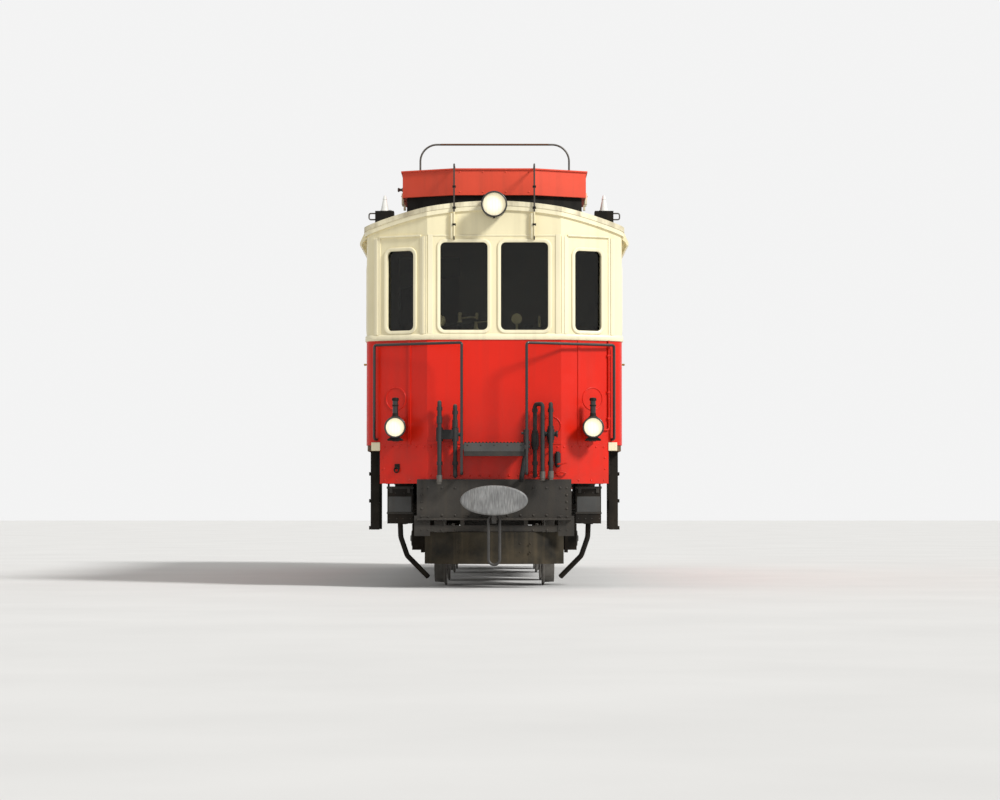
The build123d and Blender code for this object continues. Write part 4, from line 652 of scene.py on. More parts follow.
def rounded_rectangle(middle: float, width: float, heights: Pair, corner: float, steps: int = 6) -> Outline:
    """Give the outline of a rectangle with round corners, anticlockwise.

    Args:
        middle: Run of its middle.
        width: Its width.
        heights: Its lower and upper height.
        corner: Radius of its corners.
        steps: Parts of each corner.

    Returns:
        Points of the outline.
    """
    points, level, half = [], sum(heights) / 2, (heights[1] - heights[0]) / 2
    for quarter, (side, rise) in enumerate(((1, -1), (1, 1), (-1, 1), (-1, -1))):
        for step in range(steps + 1):
            turn = radians(90) * (quarter - 1 + step / steps)
            run = middle + side * (width / 2 - corner) + corner * cos(turn)
            points.append((run, level + rise * (half - corner) + corner * sin(turn)))
    return points


def circle(radius: float, sides: int) -> Outline:
    """Give the points of a round, anticlockwise."""
    turns = [2 * pi * step / sides for step in range(sides)]
    return [(radius * cos(turn), radius * sin(turn)) for turn in turns]


class Forge:
    """Collects the solids of one piece, and turns them into its mesh."""

    def __init__(self, name: str) -> None:
        """Start an empty piece."""
        self.name = name
        self.points: list[Vector] = []
        self.faces: list[tuple[int, ...]] = []

    def skin(self, rings: Sequence[Sequence[Vector]], looped: bool = False) -> None:
        """Stretch a skin over like rings, with a cap at each end unless they loop."""
        size, count = len(rings[0]), len(rings)
        faces = []
        for ring in range(count if looped else count - 1):
            low, high = ring * size, (ring + 1) % count * size
            faces += [(low + i, low + (i + 1) % size, high + (i + 1) % size, high + i) for i in range(size)]
        if not looped:
            faces += [tuple(reversed(range(size))), tuple((count - 1) * size + i for i in range(size))]
        start = len(self.points)
        self.points.extend(point for ring in rings for point in ring)
        self.faces.extend(tuple(start + index for index in face) for face in faces)

    def block(self, low: Sequence[float], high: Sequence[float]) -> None:
        """Add a block between two corners."""
        x0, y0, z0 = (min(pair) for pair in zip(low, high))
        x1, y1, z1 = (max(pair) for pair in zip(low, high))
        base = [xyz(x0, y0, z0), xyz(x1, y0, z0), xyz(x1, y1, z0), xyz(x0, y1, z0)]
        self.skin([base, [point + UP * (z1 - z0) for point in base]])

    def slab(self, face: Face, run: Sequence[float], height: Sequence[float], proud: Sequence[float]) -> None:
        """Add a block that lies on a face, by its ranges of run, height and proudness."""
        (near, far), (low, high) = run, height
        base = [face.at(u, v, proud[0]) for u, v in ((near, low), (far, low), (far, high), (near, high))]
        self.skin([base, [point + face.out * (proud[1] - proud[0]) for point in base]])

    def prism(self, outline: Sequence[Vector], shift: Vector) -> None:
        """Add a flat outline pushed out by a shift."""
        self.skin([list(outline), [point + shift for point in outline]])

    def rod(self, start: Vector, end: Vector, radius: float, end_radius: float = 0.0,
            sides: int = 16) -> None:
        """Add a round bar, or a cone where the radius at its end differs."""
        self.lathe(start, end - start, [(0, radius), ((end - start).length, end_radius or radius)], sides)

    def post(self, x: float, y: float, low: float, high: float, radius: float, sides: int = 16) -> None:
        """Add an upright round bar."""
        self.rod(xyz(x, y, low), xyz(x, y, high), radius, sides=sides)

    def lathe(self, origin: Vector, axis: Vector, profile: Outline, sides: int = 24,
              hollow: bool = False) -> None:
        """Turn a profile of distances along an axis and radii round it.

        Args:
            origin: Point from which the distances run.
            axis: Direction in which they run.
            profile: Distance and radius of each point.
            sides: Sides of the round.
            hollow: Whether the profile closes on itself, which leaves the middle open.
        """
        turn = axis.normalized().to_track_quat("Z", "Y")
        self.skin([[origin + turn @ xyz(a, b, distance) for a, b in circle(radius, sides)]
                   for distance, radius in profile], hollow)

    def sweep(self, path: Sequence[Vector], section: Outline, looped: bool = False,
              side: Vector | None = None) -> None:
        """Carry a section along a path without twisting it.

        Args:
            path: Points of the path.
            section: Points of the section, across and up from the path.
            looped: Whether the path closes on itself.
            side: Direction that the section's first axis starts towards.
        """
        count = len(path)
        rings = []
        across = None
        for index, here in enumerate(path):
            before = path[index - 1] if index or looped else here
            after = path[(index + 1) % count] if index < count - 1 or looped else here
            tangent = (after - before).normalized()
            if across is None:
                across = side or (ACROSS if abs(tangent.x) < 0.9 else ALONG)
            across = (across - tangent * across.dot(tangent)).normalized()
            upright = tangent.cross(across)
            rings.append([here + across * a + upright * b for a, b in section])
        self.skin(rings, looped)

    def pipe(self, points: Sequence[Sequence[float]], radius: float, bend: float = 0.0, sides: int = 12,
             looped: bool = False) -> None:
        """Add a round pipe along points, with its corners bent to a radius."""
        path = [Vector(point) for point in points]
        if bend:
            path = rounded(path, [bend] * (len(path) - 2))
        self.sweep(path, circle(radius, sides), looped)

    def ring(self, centre: Vector, axis: Vector, radius: float, wire: float, sides: int = 28,
             around: int = 8) -> None:
        """Add a round ring of wire."""
        turn = axis.normalized().to_track_quat("Z", "Y")
        path = [centre + turn @ xyz(a, b, 0) for a, b in circle(radius, sides)]
        self.pipe(path, wire, sides=around, looped=True)

    def surround(self, face: Face, middle: float, width: float, heights: Pair, corner: float,
                 section: Outline) -> None:
        """Carry a moulding round a window or a panel.

        Args:
            face: The face that it lies on.
            middle: Run of the opening's middle.
            width: The opening's width.
            heights: Its lower and upper height.
            corner: Radius of its corners.
            section: Distance outside the opening, and proudness, of the moulding's points.
        """
        outline, rings = rounded_rectangle(middle, width, heights, corner), []
        for before, (run, level), after in zip(
                outline[-1:] + outline[:-1], outline, outline[1:] + outline[:1]):
            along, rise = after[0] - before[0], after[1] - before[1]
            size = hypot(along, rise)
            rings.append([face.at(run + rise / size * a, level - along / size * a, b) for a, b in section])
        self.skin(rings, looped=True)

    def border(self, plan: Sequence[Vector], section: Outline) -> None:
        """Carry a moulding along a level run of the plan, which keeps the body on its left.

        Args:
            plan: Points of the run, level with the floor.
            section: Distance out of the body, and height, of the moulding's points.
        """
        rings = []
        for index, here in enumerate(plan):
            first = (here - plan[index - 1]).normalized() if index else None
            second = (plan[index + 1] - here).normalized() if index < len(plan) - 1 else None
            first, second = first or second, second or first
            mean = (first + second).normalized()
            out = mean.cross(UP) / max(mean.dot(first), 0.2)
            rings.append([here + out * a + UP * b for a, b in section])
        self.skin(rings)

    def mesh(self, weld: bool) -> bpy.types.Mesh:
        """Make the mesh, with its faces outwards and, if wanted, its doubles merged."""
        mesh = bpy.data.meshes.new(self.name)
        mesh.from_pydata(self.points, [], self.faces)
        work = bmesh.new()
        work.from_mesh(mesh)
        if weld:
            bmesh.ops.remove_doubles(work, verts=work.verts, dist=2e-6)
        bmesh.ops.recalc_face_normals(work, faces=work.faces)
        work.to_mesh(mesh)
        work.free()
        return mesh

    def finish(self, shade: Shade, body: str = "carbody", **look: str | float) -> None:
        """Make the piece's object.

        Args:
            shade: Its finish.
            body: Body of the frame that it rides on.
            look: Slot, bevel and smoothness, as place takes them.
        """
        place(self.name, self.mesh(True), shade, body, **look)


def place(name: str, mesh: bpy.types.Mesh, shade: Shade, body: str = "carbody", slot: str = "",
          bevel: float = 0.0, smooth: float = 35.0) -> None:
    """Put a finished mesh into the scene and tie it to its body.

    Args:
        name: The piece's name.
        mesh: Its mesh, in the row frame.
        shade: Its finish.
        body: Body of the frame that it rides on.
        slot: Material slot of the record, where it isn't the finish's own.
        bevel: Width of its rounded edges.
        smooth: Largest angle in degrees between faces that shade as one.
    """
    mesh.materials.clear()
    mesh.materials.append(shade.material)
    mesh.shade_smooth()
    mesh.set_sharp_from_angle(angle=radians(smooth))
    piece = bpy.data.objects.new(name, mesh)
    show(piece)
    if bevel:
        edges = piece.modifiers.new("edges", "BEVEL")
        edges.width = bevel
        edges.segments = 2
        edges.limit_method = "ANGLE"
        edges.angle_limit = radians(50)
        edges.harden_normals = True
    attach(piece, body)
    LOG.info("%s: %d faces on %s", name, len(mesh.polygons), body)


class Repeater:
    """Geometry Nodes trees that set out what repeats."""

    def __init__(self) -> None:
        """Build the trees once."""
        self.studs = self.stud_tree()
        self.rows = self.row_tree()

    @staticmethod
    def start(name: str, inputs: dict[str, str], kinds: dict[str, str]) -> tuple[Tree, Nodes]:
        """Start a tree with its named inputs and its nodes.

        Args:
            name: The tree's name.
            inputs: Name and socket type of each input.
            kinds: Name and type of each node before the instances.

        Returns:
            The tree, and its nodes by name.
        """
        tree = bpy.data.node_groups.new(name, "GeometryNodeTree")
        for label, kind in {"Geometry": "Geometry", **inputs, "Finish": "Material"}.items():
            tree.interface.new_socket(label, in_out="INPUT", socket_type=f"NodeSocket{kind}")
        tree.interface.new_socket("Geometry", in_out="OUTPUT", socket_type="NodeSocketGeometry")
        kinds = {"source": "NodeGroupInput", **kinds, "spread": "GeometryNodeInstanceOnPoints",
                 "realize": "GeometryNodeRealizeInstances", "finish": "GeometryNodeSetMaterial",
                 "output": "NodeGroupOutput"}
        return tree, {label: tree.nodes.new(kind) for label, kind in kinds.items()}

    @staticmethod
    def link(tree: Tree, nodes: Nodes, wires: Sequence[tuple]) -> Tree:
        """Link a tree's nodes, up to realized instances and the finish.

        Args:
            tree: The tree.
            nodes: Its nodes by name.
            wires: Node and output, then node and input, of each link before the instances.

        Returns:
            The tree.
        """
        last = (("spread", 0, "realize", 0), ("realize", 0, "finish", "Geometry"),
                ("source", "Finish", "finish", "Material"), ("finish", 0, "output", 0))
        for first, out, second, into in (*wires, *last):
            tree.links.new(nodes[first].outputs[out], nodes[second].inputs[into])
        return tree

    def stud_tree(self) -> Tree:
        """Build the tree that sets a low dome on each point, looking along its own direction."""
        tree, nodes = self.start(
            "studs", {"Radius": "Float", "Height": "Float", "Sides": "Int", "Rings": "Int", "Seed": "Int"},
            {"head": "GeometryNodeMeshUVSphere", "shape": "GeometryNodeTransform",
             "size": "ShaderNodeCombineXYZ", "out": "GeometryNodeInputNamedAttribute",
             "turn": "FunctionNodeAlignRotationToVector", "vary": "FunctionNodeRandomValue"})
        nodes["out"].data_type = "FLOAT_VECTOR"
        nodes["out"].inputs["Name"].default_value = "out"
        nodes["turn"].axis = "Z"
        nodes["vary"].data_type = "FLOAT"
        for index, size in ((2, 0.92), (3, 1.06)):
            nodes["vary"].inputs[index].default_value = size
        nodes["head"].inputs["Radius"].default_value = 1.0
        return self.link(
            tree, nodes, (("source", "Sides", "head", "Segments"), ("source", "Rings", "head", "Rings"),
                          ("head", "Mesh", "shape", "Geometry"), ("source", "Radius", "size", 0),
                          ("source", "Radius", "size", 1), ("source", "Height", "size", 2),
                          ("size", 0, "shape", "Scale"), ("out", "Attribute", "turn", "Vector"),
                          ("source", "Seed", "vary", "Seed"), ("source", "Geometry", "spread", "Points"),
                          ("shape", 0, "spread", "Instance"), ("turn", 0, "spread", "Rotation"),
                          ("vary", 1, "spread", "Scale")))

    def row_tree(self) -> Tree:
        """Build the tree that repeats the object's own shape in a straight row, a little unevenly."""
        tree, nodes = self.start(
            "row", {"Count": "Int", "Step": "Vector", "Slack": "Float", "Seed": "Int"},
            {"line": "GeometryNodeMeshLine", "low": "ShaderNodeMath", "vary": "FunctionNodeRandomValue",
             "scatter": "GeometryNodeSetPosition"})
        nodes["vary"].data_type = "FLOAT_VECTOR"
        nodes["low"].operation = "MULTIPLY"
        nodes["low"].inputs[1].default_value = -1.0
        return self.link(
            tree, nodes, (("source", "Count", "line", "Count"), ("source", "Step", "line", "Offset"),
                          ("source", "Slack", "low", 0), ("low", 0, "vary", 0),
                          ("source", "Slack", "vary", 1), ("source", "Seed", "vary", "Seed"),
                          ("line", 0, "scatter", "Geometry"), ("vary", 0, "scatter", "Offset"),
                          ("scatter", 0, "spread", "Points"), ("source", "Geometry", "spread", "Instance")))

    @staticmethod
    def bake(piece: Piece, tree: Tree, values: dict[str, object]) -> bpy.types.Mesh:
        """Run a tree on an object and give its plain mesh.

        Args:
            piece: Object whose mesh goes in.
            tree: The tree.
            values: Value of each named input.

        Returns:
            The finished mesh. The object is removed.
        """
        modifier = piece.modifiers.new("set_out", "NODES")
        modifier.node_group = tree
        for item in tree.interface.items_tree:
            if item.item_type == "SOCKET" and item.in_out == "INPUT" and item.name in values:
                modifier[item.identifier] = values[item.name]
        show(piece)
        ready = piece.evaluated_get(bpy.context.evaluated_depsgraph_get())
        mesh = bpy.data.meshes.new_from_object(ready)
        piece.modifiers.clear()
        bpy.data.objects.remove(piece)
        return mesh

    def rivets(self, name: str, spots: Spots, radius: float, shade: Shade, body: str = "carbody",
               slot: str = "", height: float = 0.6, sides: int = 8, rings: int = 5) -> None:
        """Set low domed heads on points.

        Args:
            name: The piece's name.
            spots: Point and outward direction of each head.
            radius: Radius of a head.
            shade: Finish of the heads.
            body: Body of the frame that they ride on.
            slot: Material slot of the record, where it isn't the finish's own.
            height: Height of a head as a share of its radius.
            sides, rings: Sides and rings of a head.
        """
        mesh = bpy.data.meshes.new(name)
        mesh.from_pydata([tuple(point) for point, _ in spots], [], [])
        out = mesh.attributes.new("out", "FLOAT_VECTOR", "POINT")
        out.data.foreach_set("vector", [value for _, direction in spots for value in direction])
        holder = bpy.data.objects.new(name + "_points", mesh)
        values = {"Radius": radius, "Height": radius * height, "Sides": sides, "Rings": rings, "Seed": 7,
                  "Finish": shade.material}
        place(name, self.bake(holder, self.studs, values), shade, body, slot, smooth=60.0)

    def bolts(self, name: str, spots: Spots, radius: float, shade: Shade, body: str = "carbody",
              slot: str = "") -> None:
        """Set six-sided heads on points, with the arguments of rivets."""
        self.rivets(name, spots, radius, shade, body, slot, sides=6, rings=3)

    def row(self, forge: Forge, count: int, step: Vector, shade: Shade, slack: float = 0.0) -> None:
        """Repeat a forged shape in a straight row.

        Args:
            forge: The shape at the row's start.
            count: How many there are.
            step: Distance from one to the next.
            shade: Their finish.
            slack: How far each may stray from its place.
        """
        holder = bpy.data.objects.new(forge.name + "_item", forge.mesh(False))
        values = {"Count": count, "Step": tuple(step), "Slack": slack, "Seed": 3, "Finish": shade.material}
        place(forge.name, self.bake(holder, self.rows, values), shade)


def spots_on(face: Face, runs: Iterable[float], heights: Iterable[float], proud: float = 0.0) -> Spots:
    """Give a spot for each run and height on a face."""
    levels = list(heights)
    return [(face.at(run, height, proud), face.out) for run in runs for height in levels]


def steps(low: float, high: float, pitch: float) -> list[float]:
    """Divide a range evenly, near a pitch, with both its ends."""
    count = max(round((high - low) / pitch), 1)
    return [low + (high - low) * index / count for index in range(count + 1)]


@dataclass
class Stage:
    """Floor, lights, background and camera."""

    floor_reach: float = 120.0
    camera_x: float = 0.055
    camera_y: float = -32.9
    camera_z: float = 0.78
    focal_pixels: float = 2960.0
    horizon_pixel: float = 505.5
    image_width: float = 1000.0
    image_height: float = 800.0
    sensor: float = 36.0
    background: Colour = (0.9, 0.9, 0.9, 1.0)
    sky: float = 0.48
    sun: float = 3.1
    sun_turn: float = radians(50.0)
    sun_lift: float = radians(36.0)

    def build(self) -> None:
        """Make the stage."""
        bpy.context.scene.view_settings.view_transform = "Standard"
        self.make_camera()
        self.make_world()
        self.make_sun()
        self.make_floor()

    def make_camera(self) -> None:
        """Stand the camera where the photograph was taken, tilted up to its horizon."""
        data = bpy.data.cameras.new("camera")
        data.sensor_width = self.sensor
        data.lens = self.focal_pixels / self.image_width * self.sensor
        data.clip_end = 500.0
        camera = bpy.data.objects.new("camera", data)
        tilt = atan((self.horizon_pixel - self.image_height / 2) / self.focal_pixels)
        camera.location = (self.camera_x, self.camera_y, self.camera_z)
        camera.rotation_euler = (radians(90) + tilt, 0, 0)
        show(camera)
        bpy.context.scene.camera = camera

    def make_world(self) -> None:
        """Light the car softly from all round, and show the camera a plain pale background."""
        world = bpy.data.worlds.new("studio")
        world.use_nodes = True
        tree = world.node_tree
        tree.nodes.clear()
        output = tree.nodes.new("ShaderNodeOutputWorld")
        soft, seen = tree.nodes.new("ShaderNodeBackground"), tree.nodes.new("ShaderNodeBackground")
        soft.inputs["Color"].default_value = (1.0, 1.0, 1.0, 1.0)
        soft.inputs["Strength"].default_value = self.sky
        seen.inputs["Color"].default_value = self.background
        path, mix = tree.nodes.new("ShaderNodeLightPath"), tree.nodes.new("ShaderNodeMixShader")
        plain = path.outputs["Is Camera Ray"]
        for ray in ("Is Glossy Ray", "Is Transmission Ray"):
            either = tree.nodes.new("ShaderNodeMath")
            either.operation = "MAXIMUM"
            tree.links.new(plain, either.inputs[0])
            tree.links.new(path.outputs[ray], either.inputs[1])
            plain = either.outputs[0]
        tree.links.new(plain, mix.inputs[0])
        tree.links.new(soft.outputs[0], mix.inputs[1])
        tree.links.new(seen.outputs[0], mix.inputs[2])
        tree.links.new(mix.outputs[0], output.inputs[0])
        bpy.context.scene.world = world

    def make_sun(self) -> None:
        """Add one broad light from the front, high on the right."""
        data = bpy.data.lights.new("broad_light", "SUN")
        data.energy = self.sun
        data.angle = radians(12.0)
        light = bpy.data.objects.new("broad_light", data)
        flat = cos(self.sun_lift)
        toward = xyz(sin(self.sun_turn) * flat, -cos(self.sun_turn) * flat, sin(self.sun_lift))
        light.rotation_euler = toward.to_track_quat("Z", "Y").to_euler()
        show(light)

    def make_floor(self) -> None:
        """Lay the plain pale floor."""
        mesh = bpy.data.meshes.new("stage_floor")
        reach = self.floor_reach
        mesh.from_pydata([(-reach, -reach, 0), (reach, -reach, 0), (reach, reach, 0), (-reach, reach, 0)], [],
                         [(0, 1, 2, 3)])
        graph = Graph("pale_floor")
        shade = graph.span(graph.noise(0.6), 0.3, 0.7, 0.0, 1.0)
        pale = graph.blend(shade, screen(226, 225, 222), screen(220, 219, 216))
        mesh.materials.append(graph.surface({"Base Color": pale, "Roughness": 0.85}))
        floor = bpy.data.objects.new("stage_floor", mesh)
        show(floor)


@dataclass
class CadFinishes:
    """Finishes of the frame's own nodes."""

    shades: dict[str, Shade] = field(default_factory=lambda: {
        "black_paint": Shade.BLACK, "rail_black": Shade.RAIL, "cab_black": Shade.CONTROL,
        "floor_wood": Shade.FLOOR, "livery_paint": Shade.LIVERY, "red_paint": Shade.RED,
        "cream_paint": Shade.CREAM, "cab_paint": Shade.INTERIOR, "roof_paint": Shade.ROOF,
        "grey_paint": Shade.GREY, "motor_grey": Shade.MOTOR, "worn_steel": Shade.STEEL,
        "panto_paint": Shade.PANTO, "porcelain": Shade.PORCELAIN, "hose_rubber": Shade.RUBBER,
        "window_glass": Shade.GLASS, "lens_glass": Shade.LENS})
    special: dict[str, Shade] = field(default_factory=lambda: {
        "headstocks": Shade.HEADSTOCK, "roof_housings": Shade.FADED, "ploughs": Shade.PLOUGH,
        "buffers": Shade.CASTING, "roof_rods": Shade.ROD, "couplings": Shade.FORGED,
        "ventilators": Shade.CREAM})

    def build(self) -> None:
        """Give every node its finish."""
        for part in frame["record"]["subparts"]:
            node = frame["nodes"][part["node"]]
            slot = part["material_slot"]
            if slot == "wheel_steel":
                middle = sum(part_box(part["node"]), Vector()) / 2
                wheel = Turned(f"turned_{part['node']}", screen(64, 56, 48), 0.5, metallic=0.6, drift=0.25,
                               grime_share=0.4, wear=0.5, relief=0.0012, axle_y=middle.y, axle_z=middle.z)
                material = wheel.build()
            else:
                material = self.special.get(part["node"], self.shades[slot]).material
            node.data.materials.clear()
            node.data.materials.append(material)
        LOG.info("finishes on %d nodes", len(frame["nodes"]))


def end_plan(end: int, back: float) -> list[Vector]:
    """Give the run of the plan round one end, with the body on its left.

    Args:
        end: -1 for the front, 1 for the rear.
        back: Distance from the middle of the car at which the run starts and ends.

    Returns:
        Points of the run at floor level.
    """
    width, corner = BODY.half_width, BODY.corner_y
    front = [(-width, -back), (-width, -corner), (-BODY.facet, -BODY.half_length),
             (BODY.facet, -BODY.half_length), (width, -corner), (width, -back)]
    run = rounded([xyz(x, y, 0) for x, y in front], [BODY.corner, 0, 0, BODY.corner])
    return [xyz(-end * point.x, -end * point.y, 0) for point in run]


@dataclass
class Walls:
    """Mouldings, frames and cover strips of the body, which stay clear of the doors' paths."""

    tools: Repeater
    door_front: float = 3.735
    door_back: float = 4.408
    luggage_edge: float = 0.765
    strip_low: float = 3.334
    window_low: float = 2.438
    end_window_high: float = 3.278
    facet_window_high: float = 3.205
    side_window_high: float = 3.17
    end_window_x: float = 0.287
    end_window_width: float = 0.455
    facet_window_run: float = 0.2884
    facet_window_width: float = 0.292
    outer_strip: float = 0.508
    conduit_run: float = 0.507
    side_window_width: float = 0.8
    side_windows: tuple[float, ...] = (-2.9, -1.8, 1.8, 2.9)
    window_corner: float = 0.05
    panel_joints: tuple[float, ...] = (-3.56, -2.35, -1.16, 1.16, 2.35, 3.56)
    screw_runs: tuple[Pair, ...] = ((-3.7, -0.8), (0.8, 3.7))
    frame_section: tuple = (
        (-0.004, -0.004), (-0.004, 0.009), (0.003, 0.013), (0.024, 0.013), (0.031, 0.008), (0.031, -0.004))

    @property
    def runs(self) -> tuple[Pair, Pair]:
        """Where a side's wall starts and ends, between a cab door and a luggage door."""
        return (-self.door_front, -self.luggage_edge), (self.luggage_edge, self.door_front)

    def build(self) -> None:
        """Make the wall pieces."""
        self.belt()
        self.window_frames()
        self.cover_strips()
        self.red_strips()
        self.rings()
        self.apron_rivets()
        self.corner_blocks()
        self.waist_screws()

    def belt(self) -> None:
        """Lay the cream belt under the windows, interrupted at every door."""
        low, high = BODY.belt_low, BODY.belt_high
        section = [(-0.004, low), (0.009, low), (0.013, low + 0.006), (0.013, high - 0.016),
                   (0.008, high - 0.006), (0.004, high), (-0.004, high)]
        forge = Forge("belt_moulding")
        for end in SIDES:
            forge.border(end_plan(end, self.door_back), section)
        for side in SIDES:
            for first, last in self.runs:
                forge.border([side_face(side).at(run * side, 0) for run in (first, last)], section)
        forge.finish(Shade.CREAM)

    def window_frames(self) -> None:
        """Frame every window of the ends and the sides."""
        ends, sides, low = Forge("end_window_frames"), Forge("side_window_frames"), self.window_low
        for end, side in CORNERS:
            ends.surround(end_face(end, 0), side * self.end_window_x, self.end_window_width,
                          (low, self.end_window_high), self.window_corner, self.frame_section)
            ends.surround(end_face(end, side), self.facet_window_run, self.facet_window_width,
                          (low, self.facet_window_high), self.window_corner, self.frame_section)
        for side in SIDES:
            for y in self.side_windows:
                sides.surround(side_face(side), y, self.side_window_width, (low, self.side_window_high),
                               self.window_corner, self.frame_section)
        ends.finish(Shade.CREAM)
        sides.finish(Shade.CREAM)

    def cover_strips(self) -> None:
        """Stand the cream strips beside the facet windows, and lay the drip strip over them."""
        forge = Forge("cream_cover_strips")
        low, high = BODY.belt_high - 0.002, self.strip_low
        for end in SIDES:
            for side in SIDES:
                face = end_face(end, side)
                for start, width in ((0.004, 0.072), (self.outer_strip, 0.07)):
                    forge.slab(face, (start, start + width), (low, high), (-0.002, 0.007))
                    forge.slab(
                        face, (start + width / 2 - 0.012, start + width / 2 + 0.012), (low, high), (0, 0.014))
                forge.slab(face, (0.066, 0.512), (high, high + 0.016), (-0.002, 0.02))
                forge.slab(
                    end_face(end, 0), (side * 0.582, side * 0.63), (low, high + 0.018), (-0.002, 0.007))
            forge.slab(end_face(end, 0), (-0.582, 0.582), (high, high + 0.014), (-0.002, 0.006))
        for side in SIDES:
            for y in self.panel_joints:
                forge.slab(side_face(side), (y - 0.024, y + 0.024), (low, 3.25), (-0.002, 0.007))
        forge.finish(Shade.CREAM, bevel=0.002)

    def red_strips(self) -> None:
        """Cover the joints of the red panels, and run the lamp's conduit down the right facet."""
        forge = Forge("red_cover_strips")
        low, high = BODY.floor_top + 0.004, BODY.belt_low + 0.002
        for end in SIDES:
            for side in SIDES:
                forge.slab(end_face(end, side), (0.176, 0.204), (low, high), (-0.002, 0.008))
            forge.slab(end_face(end, 0), (-BODY.facet, BODY.facet), (low, low + 0.028), (-0.002, 0.006))
        for side in SIDES:
            for y in self.panel_joints:
                forge.slab(side_face(side), (y - 0.022, y + 0.022), (low, high), (-0.002, 0.006))
            for first, last in self.runs:
                forge.slab(side_face(side), (first, last), (low, low + 0.034), (-0.002, 0.007))
        for end in SIDES:
            face, run = end_face(end, 1), self.conduit_run
            path = [face.at(run, high, 0.014), face.at(run, 1.5, 0.014), face.at(run - 0.052, 1.5, 0.014),
                    face.at(run - 0.067, 1.5, -0.01)]
            forge.pipe(path, 0.01, bend=0.022, sides=10)
            for height in (2.2, 1.85, 1.6):
                forge.slab(face, (run - 0.017, run + 0.017), (height, height + 0.018), (-0.002, 0.026))
        forge.finish(Shade.RED, bevel=0.0015)

    def rings(self) -> None:
        """Raise the round seats behind the lanterns, and the one behind the brake cock."""
        forge = Forge("red_rings")
        for end in SIDES:
            for side in SIDES:
                face = end_face(end, side)
                run = (0.935 - BODY.facet) / cos(BODY.slope)
                forge.ring(face.at(run, 1.795, 0.001), face.out, 0.106, 0.006, sides=40)
            face = end_face(end, 0)
            forge.ring(face.at(0.54, 1.53, 0.001), face.out, 0.09, 0.006, sides=40)
        forge.finish(Shade.RED, smooth=70.0)

    def apron_rivets(self) -> None:
        """Rivet the aprons under the floor and along their lower edge."""
        spots = []
        for end in SIDES:
            for side in SIDES:
                spots += spots_on(end_face(end, side), steps(0.03, 0.46, 0.095), (1.335,))
                spots += spots_on(end_face(end, side), steps(0.05, 0.46, 0.14), (1.02,))
                spots += [(end_face(end, side).at(0.47, z), end_face(end, side).out) for z in (1.13, 1.235)]
                spots += spots_on(end_face(end, 0), [side * run for run in steps(0.34, 0.6, 0.095)], (1.335,))
            spots += spots_on(end_face(end, 0), steps(-0.6, 0.6, 0.095), (1.062,))
        self.tools.rivets("apron_rivets", spots, 0.011, Shade.RED)

    def corner_blocks(self) -> None:
        """Close the floor's corners over the ladders with the small cream blocks."""
        forge = Forge("cream_corner_blocks")
        for end, side in CORNERS:
            forge.block((side * 1.088, end * 4.55, 1.302), (side * 1.172, end * 4.68, 1.382))
        forge.finish(Shade.CREAM, bevel=0.004)

    def waist_screws(self) -> None:
        """Set small screws in the belt and the side strips."""
        spots = []
        level = (BODY.belt_low + BODY.belt_high) / 2
        for end in SIDES:
            spots += spots_on(end_face(end, 0), steps(-0.58, 0.58, 0.145), (level,), 0.012)
            for side in SIDES:
                spots += spots_on(end_face(end, side), steps(0.06, 0.5, 0.11), (level,), 0.012)
        for side in SIDES:
            for first, last in self.screw_runs:
                spots += spots_on(side_face(side), steps(first, last, 0.16), (level,), 0.012)
        self.tools.rivets("belt_screws", spots, 0.0055, Shade.CREAM, height=0.35, rings=4)
        spots = []
        for side in SIDES:
            for y in self.panel_joints:
                spots += spots_on(side_face(side), (y,), steps(1.42, 2.3, 0.11), 0.005)
            for first, last in self.screw_runs:
                spots += spots_on(side_face(side), steps(first, last, 0.13), (1.376,), 0.006)
        self.tools.rivets("side_rivets", spots, 0.0065, Shade.RED)


